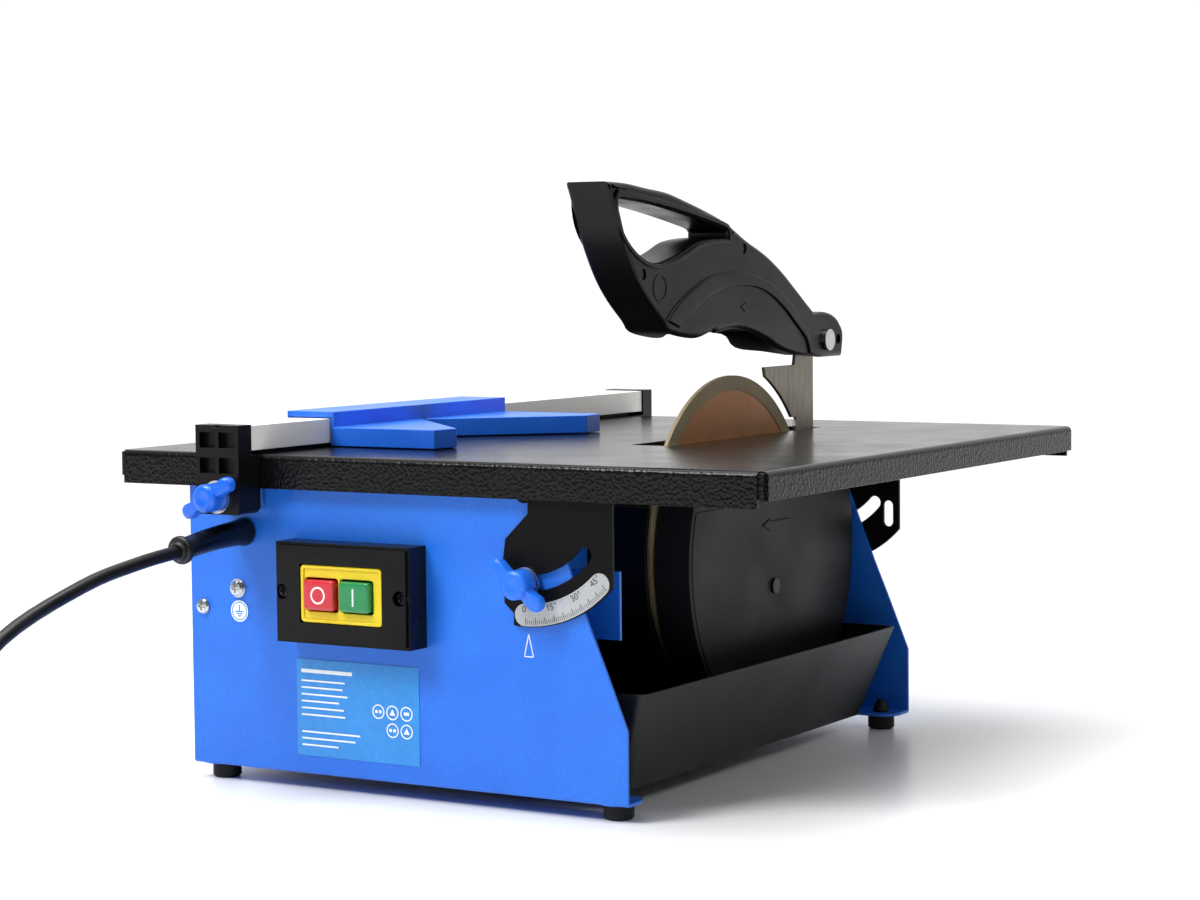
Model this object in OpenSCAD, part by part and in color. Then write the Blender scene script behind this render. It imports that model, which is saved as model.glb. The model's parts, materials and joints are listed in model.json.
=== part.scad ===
// Bench tile cutter: a tilting sheet-steel table over a sheet-steel base, a 180 mm
// diamond blade on a motor shaft, a hinged guard, a rip fence with a sliding angle
// guide, a water tray, a no-volt switch and a mains lead.
// X runs to the right, Y to the back, Z up. The origin lies on the bench under the
// middle of the table.

/* [Table] */
// Width of the table, left to right
table_w = 385; // [320:1:465]
// Depth of the table, front to back
table_d = 385; // [345:1:465]
// Height of the table surface above the bench
table_h = 172; // [165:1:210]
// Thickness of the table sheet
table_t = 2; // [1.5:0.5:3]
// Drop of the front and rear aprons
apron_ends = 17.5; // [15:0.5:20]
// Drop of the side aprons
apron_sides = 14; // [10:0.5:17]
// Outer radius of the table's bends
table_bend = 3.2; // [3.1:0.1:6]
// Open corner left between two aprons
corner_gap = 4; // [2:0.5:8]
// Room left of the blade in the table slot, for tilting
slot_left = 20; // [18:0.5:24]
// Room right of the blade in the table slot
slot_right = 4; // [3:0.5:8]
// Room in front of the blade in the table slot
slot_front = 2; // [2:0.5:20]

/* [Base] */
// Width of the base
body_w = 264; // [255:1:320]
// Depth of the base, panel face to panel face
body_d = 320.5; // [305:0.5:385]
// Thickness of the base sheets
sheet_t = 1.5; // [1:0.1:2]
// Front apron face to front panel face
panel_setback = 6; // [5.5:0.5:12]
// Right edge of the base to the blade
body_overhang = 55; // [45:1:60]
// Height of the rubber feet
foot_h = 8; // [6:0.5:12]
// Diameter of the rubber feet
foot_d = 15; // [12:0.5:18]
// Width of the bottom flanges
flange_w = 22; // [18:0.5:26]
// Top of the panels below the table surface
panel_drop = 8; // [7:0.5:12]

/* [Blade and motor] */
// Diameter of the blade
blade_d = 180; // [150:1:190]
// Thickness of the blade's rim
blade_t = 2.2; // [1.8:0.1:2.6]
// Blade to the middle of the table
blade_x = 60; // [50:1:70]
// Blade axis behind the middle of the table
blade_y = 20; // [10:1:30]
// Blade axis below the table surface
blade_drop = 56; // [56:1:66]
// Diameter of the blade's bore
bore_d = 22.2; // [20:0.1:25.4]
// Diameter of the clamping flanges
flange_d = 50; // [40:1:60]
// Diameter of the motor shaft
shaft_d = 12; // [10:0.5:15]
// Outer diameter of the motor
motor_d = 96; // [80:1:100]
// Gap between the blade rim and the riving knife
knife_gap = 7; // [5:0.5:10]
// Thickness of the riving knife
knife_t = 2; // [1.5:0.1:2]

/* [Guard] */
// Width of the upper guard
guard_w = 26; // [22:1:34]
// Wall of the guard shells
guard_wall = 2.5; // [2:0.25:4]
// Width of the lower guard's right half
cover_w = 24; // [20:1:30]

/* [Tilt] */
// Pivot below the table surface
pivot_drop = 14; // [14:0.5:16]
// Radius of the arc slot
arc_r = 44.5; // [40:0.5:48]
// Width of the arc slot
arc_w = 7.5; // [6.5:0.5:9]
// Largest tilt of the table
tilt_max = 45; // [30:1:45]
// Diameter of the clamping bolt
clamp_d = 6; // [5:0.5:6]
// Thickness of the tilt brackets
bracket_t = 2; // [1.5:0.5:2]

/* [Fence] */
// Left face of the fence to the middle of the table
fence_x = -125.5; // [-150:0.5:-110]
// Width of the fence
fence_w = 27.5; // [24:0.5:32]
// Height of the aluminium rail
rail_h = 12.8; // [10:0.1:20]
// Wall of the aluminium rail
rail_wall = 1.6; // [1.2:0.1:2.5]
// Clear space under the rail
rail_lift = 2.2; // [2:0.1:5]
// Length of the clamps in front of the aprons
clamp_l = 16.5; // [14:0.5:22]
// Drop of the clamps below the aprons
clamp_skirt = 12.5; // [12:0.5:14]

/* [Angle guide] */
// Length of the angle guide along the rail
guide_l = 167; // [150:1:200]
// Reach of its two arms to the right of the fence
guide_reach = 69; // [50:1:72]
// Height of its arms
guide_arm_h = 10; // [8:0.5:14]
// Wall of the angle guide
guide_wall = 2; // [1.5:0.25:3]
// Flat end of each arm
guide_nose = 18; // [10:1:25]

/* [Water tray] */
// Width of the tray
tray_w = 235; // [215:1:240]
// Height of the tray's rim above the bench
tray_rim = 60; // [45:1:61]
// Wall of the tray
tray_wall = 2; // [1.5:0.25:3]

/* [Switch] */
// Width of the switch box
switch_w = 82; // [70:1:90]
// Height of the switch box
switch_h = 51; // [45:1:60]
// Depth of the switch box in front of the panel
switch_l = 16; // [12:0.5:24]
// Travel of the buttons
button_travel = 2.5; // [1:0.5:3]

/* [Mains lead] */
// Diameter of the lead
cord_d = 7; // [6:0.5:9]
// Length of the strain relief in front of the panel
relief_l = 56; // [40:1:60]

/* [Hidden] */
$fn = 64;
eps = 0.01;
run = 0.05;       // radial clearance of a turning fit
play = 0.5;       // clearance of a sliding fit
gap = 0.1;        // space between faces that slide on each other

// ---- derived levels and faces -------------------------------------------------
zt = table_h;                       // table surface
zu = table_h - table_t;             // underside of the table sheet
hx = table_w / 2;
hy = table_d / 2;
yf = -hy + panel_setback;           // front panel's outer face
yr = yf + body_d;                   // rear panel's outer face
xr = blade_x + body_overhang;       // right edge of the base
xl = xr - body_w;                   // left face of the base
zb = foot_h;                        // bottom of the flanges
ztop = table_h - panel_drop;        // top of the panels
pz = table_h - pivot_drop;          // tilt pivot
bz = table_h - blade_drop;          // blade axis
br = blade_d / 2;
knob_z = table_h - apron_ends - 3.5; // clamp bolt, just under the apron
plate_x = blade_x - 36;             // left face of the motor bracket
plate_t = 3;
rail_x0 = fence_x + 1;
rail_x1 = fence_x + fence_w - 1;
rail_z0 = zt + rail_lift;
rail_z1 = rail_z0 + rail_h;
clamp_y = hy + 0.6;                 // back of the clamps' skirt
clamp_f = clamp_y + clamp_l + 0.4;  // front of the clamps
rail_y = clamp_f - 11;              // ends of the rail
fence_mid = fence_x + fence_w / 2;
tray_x1 = xr;
tray_x0 = xr - tray_w;
gland_x = xl + 36;
gland_z = 131.3;

blue = [0.16, 0.37, 0.85];
black = [0.07, 0.07, 0.08];
grey = [0.22, 0.22, 0.24];
zinc = [0.75, 0.76, 0.78];
steel = [0.55, 0.54, 0.52];

// ---- helpers ------------------------------------------------------------------
// cylinders along X and Y, starting at the given point
module cx(x, y, z, r, l) { translate([x, y, z]) rotate([0, 90, 0]) cylinder(r = r, h = l); }
module cy(x, y, z, r, l) { translate([x, y + l, z]) rotate([90, 0, 0]) cylinder(r = r, h = l); }
// a box between two corners
module box(a, b) { translate(a) cube(b - a); }
// an outline in XZ given thickness from y0 to y1
module xz(y0, y1) { translate([0, y1, 0]) rotate([90, 0, 0]) linear_extrude(y1 - y0) children(); }
// an outline in YZ given thickness from x0 to x1
module yz(x0, x1) { translate([x0, 0, 0]) rotate([90, 0, 90]) linear_extrude(x1 - x0) children(); }
function unit(v) = v / norm(v);
// an outline moved inward by d, corner by corner (drawn anticlockwise)
function inset(p, d) = [for (i = [0 : len(p) - 1])
  let(n = len(p), u = unit(p[i] - p[(i + n - 1) % n]), v = unit(p[(i + 1) % n] - p[i]),
      a = [-u.y, u.x], b = [-v.y, v.x]) p[i] + d * (a + b) / (1 + a * b)];

// square-headed cap with a rounded top, for the bent table sheet
module cap(w, h, r) {
  translate([-w / 2, -h]) square([w, h - r]);
  translate([-w / 2 + r, -h]) square([w - 2 * r, h]);
  for (s = [-1, 1]) translate([s * (w / 2 - r), -r]) circle(r);
}
module channel(w, h, r, t) {
  difference() {
    cap(w, h, r);
    translate([0, -t]) cap(w - 2 * t, h, r - t + eps);
  }
}

// ---- table --------------------------------------------------------------------
module slot_cut() {
  y0 = blade_y - sqrt(br * br - pow(blade_drop - table_t, 2)) - slot_front;
  box([blade_x - slot_left, y0, zu - 1], [blade_x + slot_right, 126, zt + 1]);
}
module table_top() {
  color(black) difference() {
    union() {
      translate([hx - corner_gap, 0, zt]) rotate([90, 0, -90])
        linear_extrude(table_w - 2 * corner_gap)
          channel(table_d, apron_ends, table_bend, table_t);
      translate([0, hy - corner_gap, zt]) rotate([90, 0, 0])
        linear_extrude(table_d - 2 * corner_gap)
          channel(table_w, apron_sides, table_bend, table_t);
      for (x = [-hx + 1.5, hx - 8], y = [-hy + 1.5, hy - 8])
        box([x, y, zt - apron_sides + 0.5], [x + 6.5, y + 6.5, zt - 1]);
    }
    slot_cut();
  }
}

// tilt brackets: outline about the pivot, X to the right and Z up
module bracket_outline() {
  intersection() {
    polygon([[-5, zu - pz], [-5, -2], [1.2, -5], [1.2, -10.6], [-11.8, -23.3],
      [-13.5, -35], [-12.6, -54.8], [-7.3, -59.5], [-7.3, -90], [48.8, -90],
      [48.8, zu - pz]]);
    circle(arc_r + 21.4, $fn = 128);
  }
}
module arc_band(r0, r1, a0, a1) {
  difference() {
    intersection() {
      circle(r1, $fn = 128);
      polygon([[0, 0], 150 * [sin(a0), -cos(a0)], 150 * [sin((a0 + a1) / 2), -cos((a0 + a1) / 2)],
        150 * [sin(a1), -cos(a1)]]);
    }
    circle(r0, $fn = 128);
  }
}
module arc_slot() {
  arc_band(arc_r - arc_w / 2, arc_r + arc_w / 2, 0, tilt_max + 3.6);
  for (a = [0, tilt_max + 3.6]) translate(arc_r * [sin(a), -cos(a)]) circle(d = arc_w);
}
module bracket_plate(y0) {
  translate([blade_x, 0, pz]) difference() {
    xz(y0, y0 + bracket_t) bracket_outline();
    xz(y0 - 1, y0 + bracket_t + 1) arc_slot();
    cy(0, y0 - 1, 0, 3 + run, bracket_t + 2);
  }
}
fb_y = yf - gap - bracket_t;        // front bracket's outer face
rb_y = yr + gap;                    // rear bracket's inner face
module tilt_bracket_front() {
  color(black) union() {
    bracket_plate(fb_y);
    box([blade_x - 5, fb_y, zu - bracket_t], [blade_x + 48.8, yf + 14, zu]);
  }
}
module tilt_bracket_rear() {
  color(black) difference() {
    union() {
      bracket_plate(rb_y);
      box([blade_x - 5, rb_y, zu - bracket_t], [blade_x + 48.8, rb_y + 18, zu]);
    }
    for (z = [-40, -31]) cy(blade_x + 42, rb_y - 1, pz + z, 3, bracket_t + 2);
    box([blade_x + 39, rb_y - 1, pz - 40], [blade_x + 45, rb_y + bracket_t + 1, pz - 31]);
  }
}
module angle_scale() {
  color([0.78, 0.78, 0.76]) translate([blade_x, 0, pz]) xz(fb_y - 0.4, fb_y) {
    arc_band(arc_r + 10, arc_r + 20.9, -0.8, tilt_max - 0.8);
    for (a = [-0.8, tilt_max - 0.8])
      translate((arc_r + 15.45) * [sin(a), -cos(a)]) circle(d = 10.9);
  }
}

// ---- base ---------------------------------------------------------------------
// end panel, outer face on Y = 0 and flange turned toward +Y
module end_panel() {
  difference() {
    union() {
      xz(0, sheet_t) polygon([[xl, zb + 2], [xr, zb + 2], [xr, zb + 37],
        [xr - 11.3, zb + 64.4], [xr - 21, zb + 87], [blade_x + 19.6, pz - 27],
        [blade_x + 7, pz + 2], [blade_x + 3, ztop], [xl, ztop]]);
      box([xl + 11, 2, zb], [xr - 11, flange_w, zb + sheet_t]);
      box([xl, 2, zb], [xr, flange_w - 11, zb + sheet_t]);
      for (x = [xl + 11, xr - 11]) translate([x, flange_w - 11, zb])
        cylinder(r = 11, h = sheet_t);
      intersection() {
        difference() {
          cx(xl, 2, zb + 2, 2, xr - xl);
          cx(xl - 1, 2, zb + 2, 2 - sheet_t, xr - xl + 2);
        }
        box([xl, 0, zb], [xr, 2, zb + 2]);
      }
    }
    for (x = [xl + 12, xr - 12]) translate([x, 12, zb - 1]) cylinder(r = 4, h = 5);
    cy(blade_x, -1, pz, 3, sheet_t + 2);
    cy(blade_x, -1, pz - arc_r, clamp_d / 2, sheet_t + 2);
    cy(xl + 8, -1, 91, 2, sheet_t + 2);
  }
}
sw_x = blade_x - 60 - switch_w;     // left side of the switch box
sw_z = 78;
module front_panel() {
  color(blue) difference() {
    translate([0, yf, 0]) end_panel();
    cy(gland_x, yf - 1, gland_z, 5.5, sheet_t + 2);
    cy(xl + 31, yf - 1, 101.6, 2, sheet_t + 2);
    box([sw_x + 13.6, yf - 1, sw_z + 8.6], [sw_x + 68.1, yf + 3, sw_z + 42.3]);
  }
}
module rear_panel() {
  color(blue) translate([0, yr, 0]) mirror([0, 1, 0]) end_panel();
}
module side_panel() {
  y0 = yf + sheet_t;
  y1 = yr - sheet_t;
  color(blue) difference() {
    union() {
      box([xl, y0, zb + 2], [xl + sheet_t, y1, ztop]);
      for (y = [y0, y1 - sheet_t]) box([xl, y, zb + 4], [xl + 18, y + sheet_t, ztop]);
      box([xl, yf + flange_w + 0.5, zb], [xl + 18, yr - flange_w - 0.5, zb + sheet_t]);
      box([xl, yf + flange_w + 0.5, zb], [xl + sheet_t, yr - flange_w - 0.5, zb + 3]);
    }
    for (y = [y0 - 1, y1 - sheet_t - 1]) cy(xl + 8, y, 91, 2, sheet_t + 2);
    for (i = [-3 : 3]) box([xl - 1, blade_y + i * 9 - 2, bz - 22], [xl + 3, blade_y + i * 9 + 2, bz + 22]);
  }
}
module motor_bracket() {
  y0 = yf + sheet_t;
  y1 = yr - sheet_t;
  color(blue) difference() {
    union() {
      box([plate_x, y0, tray_rim + 4], [plate_x + plate_t, y1, ztop]);
      for (y = [y0, y1 - 2]) box([plate_x, y, 80], [blade_x + 16, y + 2, 130]);
      box([plate_x, y0 + 33, 83], [blade_x + 31, y0 + 35, 117]);
    }
    cx(plate_x - 1, blade_y, bz, 20, plate_t + 2);
    for (a = [45 : 90 : 315]) cx(plate_x - 1, blade_y + 38 * cos(a), bz + 38 * sin(a), 2.5, plate_t + 2);
    for (z = kb_z) cx(plate_x - 1, kb_y, z, 2.5, plate_t + 2);
    for (y = [y0 - 1, y1 - 3]) cy(blade_x, y, pz - arc_r, clamp_d / 2, 4);
    for (p = [[-50, 96], [100, 96]]) cx(plate_x - 1, p.x, p.y, 2, plate_t + 2);
  }
}
module rubber_feet() {
  color(grey) for (x = [xl + 12, xr - 12], y = [yf + 12, yr - 12]) translate([x, y, 0])
    rotate_extrude() polygon([[0, 0], [foot_d / 2 - 1, 0], [foot_d / 2, 1], [foot_d / 2, zb],
      [4, zb], [4, zb + sheet_t], [5, zb + sheet_t + 1], [2, zb + 8.5], [0, zb + 8.5]]);
}
// cross-recessed pan head with a short shank, head toward -Y
module pan_screw(x, y, z, d, l) {
  translate([x, y, z]) rotate([90, 0, 0]) difference() {
    union() {
      rotate_extrude() polygon([[0, 0], [d, 0], [d, 1.2], [d * 0.8, 2.2], [0, 2.6]]);
      translate([0, 0, -l]) cylinder(r = d / 2, h = l);
    }
    for (a = [0, 90]) rotate([0, 0, a]) translate([-d * 0.55, -0.5, 1.2]) cube([d * 1.1, 1, 3]);
  }
}
module casing_screws() {
  color(zinc) {
    pan_screw(xl + 8, yf, 91, 4, 6);
    translate([0, 2 * yr, 0]) mirror([0, 1, 0]) translate([0, yr, 0]) pan_screw(xl + 8, 0, 91, 4, 6);
  }
}
module earth_screw() {
  color(zinc) {
    difference() {
      cy(xl + 31, yf - 0.8, 101.6, 4.9, 0.8);
      cy(xl + 31, yf - 2, 101.6, 2, 4);
    }
    pan_screw(xl + 31, yf - 0.8, 101.6, 4, 6);
  }
}
module labels() {
  color([0.15, 0.5, 0.85]) {
    cy(xl + 31.7, yf - 0.3, 89.7, 5.8, 0.3);
    box([sw_x + 1, yf - 0.3, 17.7], [sw_x + 77, yf, 67.5]);
  }
}

// ---- switch -------------------------------------------------------------------
sy = yf - switch_l;                 // front face of the switch
module switch_housing() {
  color(grey) difference() {
    union() {
      box([sw_x, sy + 1.5, sw_z], [sw_x + switch_w, yf, sw_z + switch_h]);
      box([sw_x + 1.5, sy, sw_z + 1.5], [sw_x + switch_w - 1.5, sy + 2, sw_z + switch_h - 1.5]);
    }
    box([sw_x + 15.6, sy - 1, sw_z + 10.6], [sw_x + 66.1, yf + 1, sw_z + 40.3]);
    for (x = [4.3, switch_w - 5.3]) {
      cy(sw_x + x, sy - 1, sw_z + 25.7, 3.9, 5);
      cy(sw_x + x, sy - 1, sw_z + 25.7, 2, switch_l + 2);
    }
  }
}
module switch_frame() {
  color([0.85, 0.72, 0.12]) difference() {
    box([sw_x + 15.7, sy + 0.8, sw_z + 10.7], [sw_x + 66, sy + 3.3, sw_z + 40.2]);
    for (x = [18, 39.6]) box([sw_x + x, sy, sw_z + 16.4], [sw_x + x + 20.6, sy + 5, sw_z + 33.7]);
  }
}
module switch_block() {
  color(black) box([sw_x + 16.5, sy + 10, sw_z + 11.5], [sw_x + 65, yf + 18, sw_z + 39.4]);
}
module switch_screws() {
  color(zinc) for (x = [4.3, switch_w - 5.3])
    pan_screw(sw_x + x, sy + 4, sw_z + 25.7, 3.6, 8);
}
module button(x, c) {
  color(c) union() {
    box([sw_x + x + 0.3, sy - 1.2, sw_z + 16.7], [sw_x + x + 20.3, sy + 10 - button_travel - 0.2, sw_z + 33.4]);
    box([sw_x + x + 1.3, sy - 2, sw_z + 17.7], [sw_x + x + 19.3, sy + 1, sw_z + 32.4]);
  }
}
module stop_button() { button(18, [0.75, 0.06, 0.05]); }
module start_button() { button(39.6, [0.1, 0.5, 0.2]); }

// ---- tilt lock ----------------------------------------------------------------
module pivot_rivets() {
  color(zinc) {
    cy(blade_x, fb_y - gap, pz, 3, bracket_t + 2 * gap + sheet_t);
    cy(blade_x, fb_y - gap - 1.1, pz, 5.5, 1.1);
    cy(blade_x, yf + sheet_t, pz, 5.5, 2);
    cy(blade_x, yr - sheet_t, pz, 3, bracket_t + 2 * gap + sheet_t);
    cy(blade_x, yr + bracket_t + 2 * gap, pz, 5.5, 1.5);
    cy(blade_x, yr - sheet_t - 2, pz, 5.5, 2);
  }
}
lock_z = pz - arc_r;
knob_y = fb_y - gap - 1.8;          // back of the front tilt knob
module tilt_bolt(l) {
  cy(0, -l, 0, clamp_d / 2, l + 5);
  cy(0, 3.5, 0, 6.5, 2);
}
module tilt_bolts() {
  color(zinc) {
    translate([blade_x, yf, lock_z]) tilt_bolt(yf - knob_y + 9);
    translate([blade_x, yr, lock_z]) mirror([0, 1, 0]) tilt_bolt(yf - knob_y + 9);
  }
}
module washer(r) {
  difference() {
    cy(0, 0, 0, r, 1.4);
    cy(0, -1, 0, clamp_d / 2 + 0.2, 4);
  }
}
module tilt_washers() {
  color(zinc) {
    translate([blade_x, fb_y - gap - 1.4, lock_z]) washer(8);
    translate([blade_x, yr + gap * 2 + bracket_t, lock_z]) washer(8);
  }
}
// wing knob: back on Y = 0, front toward -Y
module wing_knob(bore, depth) {
  difference() {
    union() {
      cy(0, -11, 0, 7.3, 11);
      cy(0, -11.6, 0, 6.3, 1);
      for (s = [-1, 1]) {
        cy(s * 14, -9.5, 0, 4, 7);
        box([min(0, s * 14), -9, -3.4], [max(0, s * 14), -3, 3.4]);
      }
    }
    cy(0, -depth, 0, bore, depth + 1);
  }
}
module tilt_knob_front() {
  color(blue) translate([blade_x, knob_y, lock_z]) rotate([0, 38, 0]) wing_knob(clamp_d / 2 + run, 9.3);
}
module tilt_knob_rear() {
  color(blue) translate([blade_x, yr + yf - knob_y, lock_z]) rotate([0, 0, 180])
    rotate([0, 38, 0]) wing_knob(clamp_d / 2 + run, 9.3);
}

// ---- motor --------------------------------------------------------------------
mr = motor_d / 2;
mx = plate_x;                       // motor flange against the bracket
module ring_x(x, r1, r0, l) {
  difference() {
    cx(x, blade_y, bz, r1, l);
    cx(x - 1, blade_y, bz, r0, l + 2);
  }
}
module motor_stator() {
  color([0.3, 0.3, 0.32]) difference() {
    ring_x(mx - 78, mr, 27.6, 50);
    for (a = [0 : 45 : 315]) translate([0, blade_y, bz]) rotate([a, 0, 0])
      box([mx - 79, -2, 27], [mx - 27, 2, 38]);
  }
}
module motor_windings() {
  color([0.45, 0.08, 0.06]) {
    ring_x(mx - 28, 43, 30, 12);
    ring_x(mx - 90, 43, 30, 12);
  }
}
module bell_front() {
  difference() {
    ring_x(mx - 28, mr, shaft_d / 2 + 3.2, 28);
    cx(mx - 29, blade_y, bz, mr - 3.5, 21);
    cx(mx - 15, blade_y, bz, 16 + run, 11);
    for (a = [45 : 90 : 315]) cx(mx - 29, blade_y + 38 * cos(a), bz + 38 * sin(a), 2.5, 40);
    for (a = [0 : 90 : 270]) translate([0, blade_y, bz]) rotate([a, 0, 0])
      box([mx - 24, -12, 40], [mx - 11, 12, 60]);
  }
}
module bell_rear() {
  difference() {
    ring_x(mx - 128, mr, shaft_d / 2 + 3.2, 50);
    cx(mx - 99, blade_y, bz, mr - 3.5, 22);
    cx(mx - 126, blade_y, bz, mr - 3.5, 18);
    cx(mx - 106, blade_y, bz, 16 + run, 10);
    for (i = [-3 : 3]) box([mx - 130, blade_y + i * 9 - 2, bz - 24], [mx - 125, blade_y + i * 9 + 2, bz + 24]);
  }
}
module motor_end_bells() {
  color([0.62, 0.63, 0.64]) {
    bell_front();
    bell_rear();
  }
}
module motor_screws() {
  color(zinc) for (a = [45 : 90 : 315]) {
    cx(mx + plate_t, blade_y + 38 * cos(a), bz + 38 * sin(a), 4.4, 2.6);
    cx(mx - 6, blade_y + 38 * cos(a), bz + 38 * sin(a), 2.5, plate_t + 6.1);
  }
}
module shaft_bearings() {
  color(zinc) {
    ring_x(mx - 14.5, 16, shaft_d / 2 + 2 + run, 10);
    ring_x(mx - 105.5, 16, shaft_d / 2 + 2 + run, 9);
  }
}
module run_capacitor() {
  color([0.8, 0.8, 0.78]) union() {
    cy(-95, -150, 62.5 + 17.5, 17.5, 70);
    cy(-95, -153, 62.5 + 17.5, 15.5, 3);
  }
}
module motor_shaft() {
  color(steel) union() {
    cx(mx - 120, blade_y, bz, shaft_d / 2 + 2, 120 + 31.2);
    cx(mx + 31, blade_y, bz, shaft_d / 2, 20.5);
  }
}
module motor_rotor() {
  color([0.5, 0.5, 0.5]) ring_x(mx - 78, 27, shaft_d / 2 + 2, 50);
}
module cooling_fan() {
  color(grey) union() {
    ring_x(mx - 118, 12, shaft_d / 2 + 2, 7);
    ring_x(mx - 118, 40, 11, 1.5);
    for (a = [0 : 45 : 315]) translate([0, blade_y, bz]) rotate([a, 0, 0])
      box([mx - 117, -1, 11], [mx - 111, 1, 39]);
  }
}

// ---- blade --------------------------------------------------------------------
core_t = blade_t - 0.6;
module blade_core() {
  color([0.62, 0.36, 0.2]) ring_x(blade_x - core_t / 2, br - 8, bore_d / 2, core_t);
}
module blade_rim() {
  color([0.5, 0.45, 0.38]) ring_x(blade_x - blade_t / 2, br, br - 8, blade_t);
}
module blade_flanges() {
  color(steel) {
    difference() {
      union() {
        cx(mx + 31.2, blade_y, bz, flange_d / 2, blade_x - core_t / 2 - mx - 31.2);
        cx(mx + 31.2, blade_y, bz, bore_d / 2, blade_x + core_t / 2 - mx - 31.2);
      }
      cx(mx + 30, blade_y, bz, shaft_d / 2, 20);
    }
    ring_x(blade_x + core_t / 2, flange_d / 2, shaft_d / 2, 4);
  }
}
module arbor_nut() {
  color(zinc) difference() {
    translate([blade_x + core_t / 2 + 4, blade_y, bz]) rotate([0, 90, 0])
      cylinder(r = 11, h = 8, $fn = 6);
    cx(blade_x, blade_y, bz, shaft_d / 2, 20);
  }
}

// ---- riving knife -------------------------------------------------------------
kr = br + knife_gap;
kb_y = 122;                         // bolts through the knife's foot
kb_z = [zt - 24, zt - 13.5];
gp = [114, table_h + 51];           // guard pivot
module riving_knife() {
  color([0.56, 0.53, 0.5]) difference() {
    union() {
      yz(blade_x - knife_t / 2, blade_x + knife_t / 2)
        polygon([[90, zt - 29], [128.5, zt - 29], [128.5, zt - 8], [120.5, zt - 5], [120.5, gp.y], [100.5, gp.y], [97, zt + 37],
          [60, zt + 37], [62, zt + 30], [86, zt + 7.3], [99, zt + 7.3]]);
      cx(blade_x - knife_t / 2, 113, gp.y, 7.5, knife_t);
      box([blade_x - knife_t / 2, 100.5, gp.y], [blade_x + knife_t / 2, 113, gp.y + 5]);
    }
    cx(blade_x - 5, blade_y, bz, kr, 10);
    cx(blade_x - 5, gp.x, gp.y, 3 + run, 10);
    for (z = kb_z) cx(blade_x - 5, kb_y, z, 2.5, 10);
  }
}
module knife_bracket() {
  color(steel) difference() {
    box([plate_x + plate_t, 116, zt - 29], [blade_x - knife_t / 2, 128.5, zt - 8.5]);
    for (z = kb_z) cx(plate_x, kb_y, z, 2.5, 60);
  }
}
module knife_screws() {
  color(zinc) for (z = kb_z) {
    cx(blade_x + knife_t / 2, kb_y, z, 4.4, 2.6);
    cx(plate_x - 3, kb_y, z, 2.5, blade_x + knife_t / 2 - plate_x + 3.1);
    cx(plate_x - 3, kb_y, z, 4.4, 3);
  }
}

// ---- lower guard --------------------------------------------------------------
lg_x = blade_x + 2.5;               // parting plane
lg = [25.5, 113];
lr = br + 12.5;
cg = [29.5, 108.7];
cr = br + 7;
zl = table_h - 31;                  // open top edge
module lower_guard_inner() {
  color(black) difference() {
    intersection() {
      cx(plate_x + plate_t, lg.x, lg.y, lr, lg_x - plate_x - plate_t);
      box([plate_x, -150, 31], [lg_x, 150, zl]);
    }
    cx(plate_x + plate_t + 2, lg.x, lg.y, lr - 2.2, 60);
    cx(plate_x, blade_y, bz, 20, 60);
    for (a = [45 : 90 : 315]) cx(plate_x, blade_y + 38 * cos(a), bz + 38 * sin(a), 4.6, 20);
    for (p = [[-50, 96], [100, 96]]) cx(plate_x, p.x, p.y, 2, 20);
  }
}
module lower_guard_cover() {
  color(grey) difference() {
    union() {
      intersection() {
        cx(lg_x, cg.x, cg.y, cr, cover_w - 3.5);
        box([lg_x, -150, 31], [lg_x + cover_w, 150, zl]);
      }
      intersection() {
        cx(lg_x, cg.x, cg.y, cr - 3, cover_w - 3);
        box([lg_x, -150, 31], [lg_x + cover_w, 150, zl - 3]);
      }
      yz(lg_x + cover_w - 4, lg_x + cover_w - 2.4) polygon([[13.5, 125], [22, 121.6], [22, 123.2],
        [45.5, 123.2], [45.5, 126.8], [22, 126.8], [22, 128.4]]);
    }
    intersection() {
      cx(lg_x - 1, cg.x, cg.y, cr - 3.4, cover_w - 4.5);
      box([lg_x - 1, -150, 20], [lg_x + cover_w, 150, zl + 9]);
    }
    cx(lg_x, 27.4, 91, 2.2, 40);
  }
}
module lower_guard_screws() {
  color(zinc) {
    for (p = [[-50, 96], [100, 96]]) {
      cx(plate_x + plate_t + 2, p.x, p.y, 4, 2.4);
      cx(plate_x - 2, p.x, p.y, 2, plate_t + 4.1);
      cx(plate_x - 2, p.x, p.y, 4, 2);
    }
    cx(lg_x + cover_w - 3, 27.4, 91, 4.2, 1.4);
    cx(lg_x + cover_w - 6.5, 27.4, 91, 2.2, 4);
  }
}

// ---- upper guard --------------------------------------------------------------
gd = gp.y - 223;                    // guard outline's lift with the table
gtop = [[135, 213], [137, 226], [132, 233], [125, 237], [114, 239], [102, 239], [97, 241],
  [77, 253], [60, 263], [41, 272], [18, 280], [-4, 289], [-26, 295], [-48, 300],
  [-68, 304], [-89, 306], [-109, 308], [-129, 308.5], [-122, 294], [-115, 279],
  [-103, 261], [-90, 248], [-75, 237], [-69, 232], [-53, 229], [-36, 228], [-20, 231]];
g_right = [for (p = concat(gtop, [[-16, 230], [4, 232], [22, 230], [41, 225], [55, 220],
  [74, 216], [96, 214], [109, 213]])) p + [0, gd]];
g_left = [for (p = concat(gtop, [[32, 228], [48, 220], [80, 217], [109, 214]])) p + [0, gd]];
grip = [for (p = [[-119, 299], [-117, 289], [-110, 280], [-97, 272], [-81, 268], [-65, 270],
  [-50, 274], [-35, 279], [-15, 281], [-4, 281], [-6, 285], [-26, 289], [-58, 294],
  [-89, 298], [-116, 300]]) p + [0, gd]];
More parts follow.
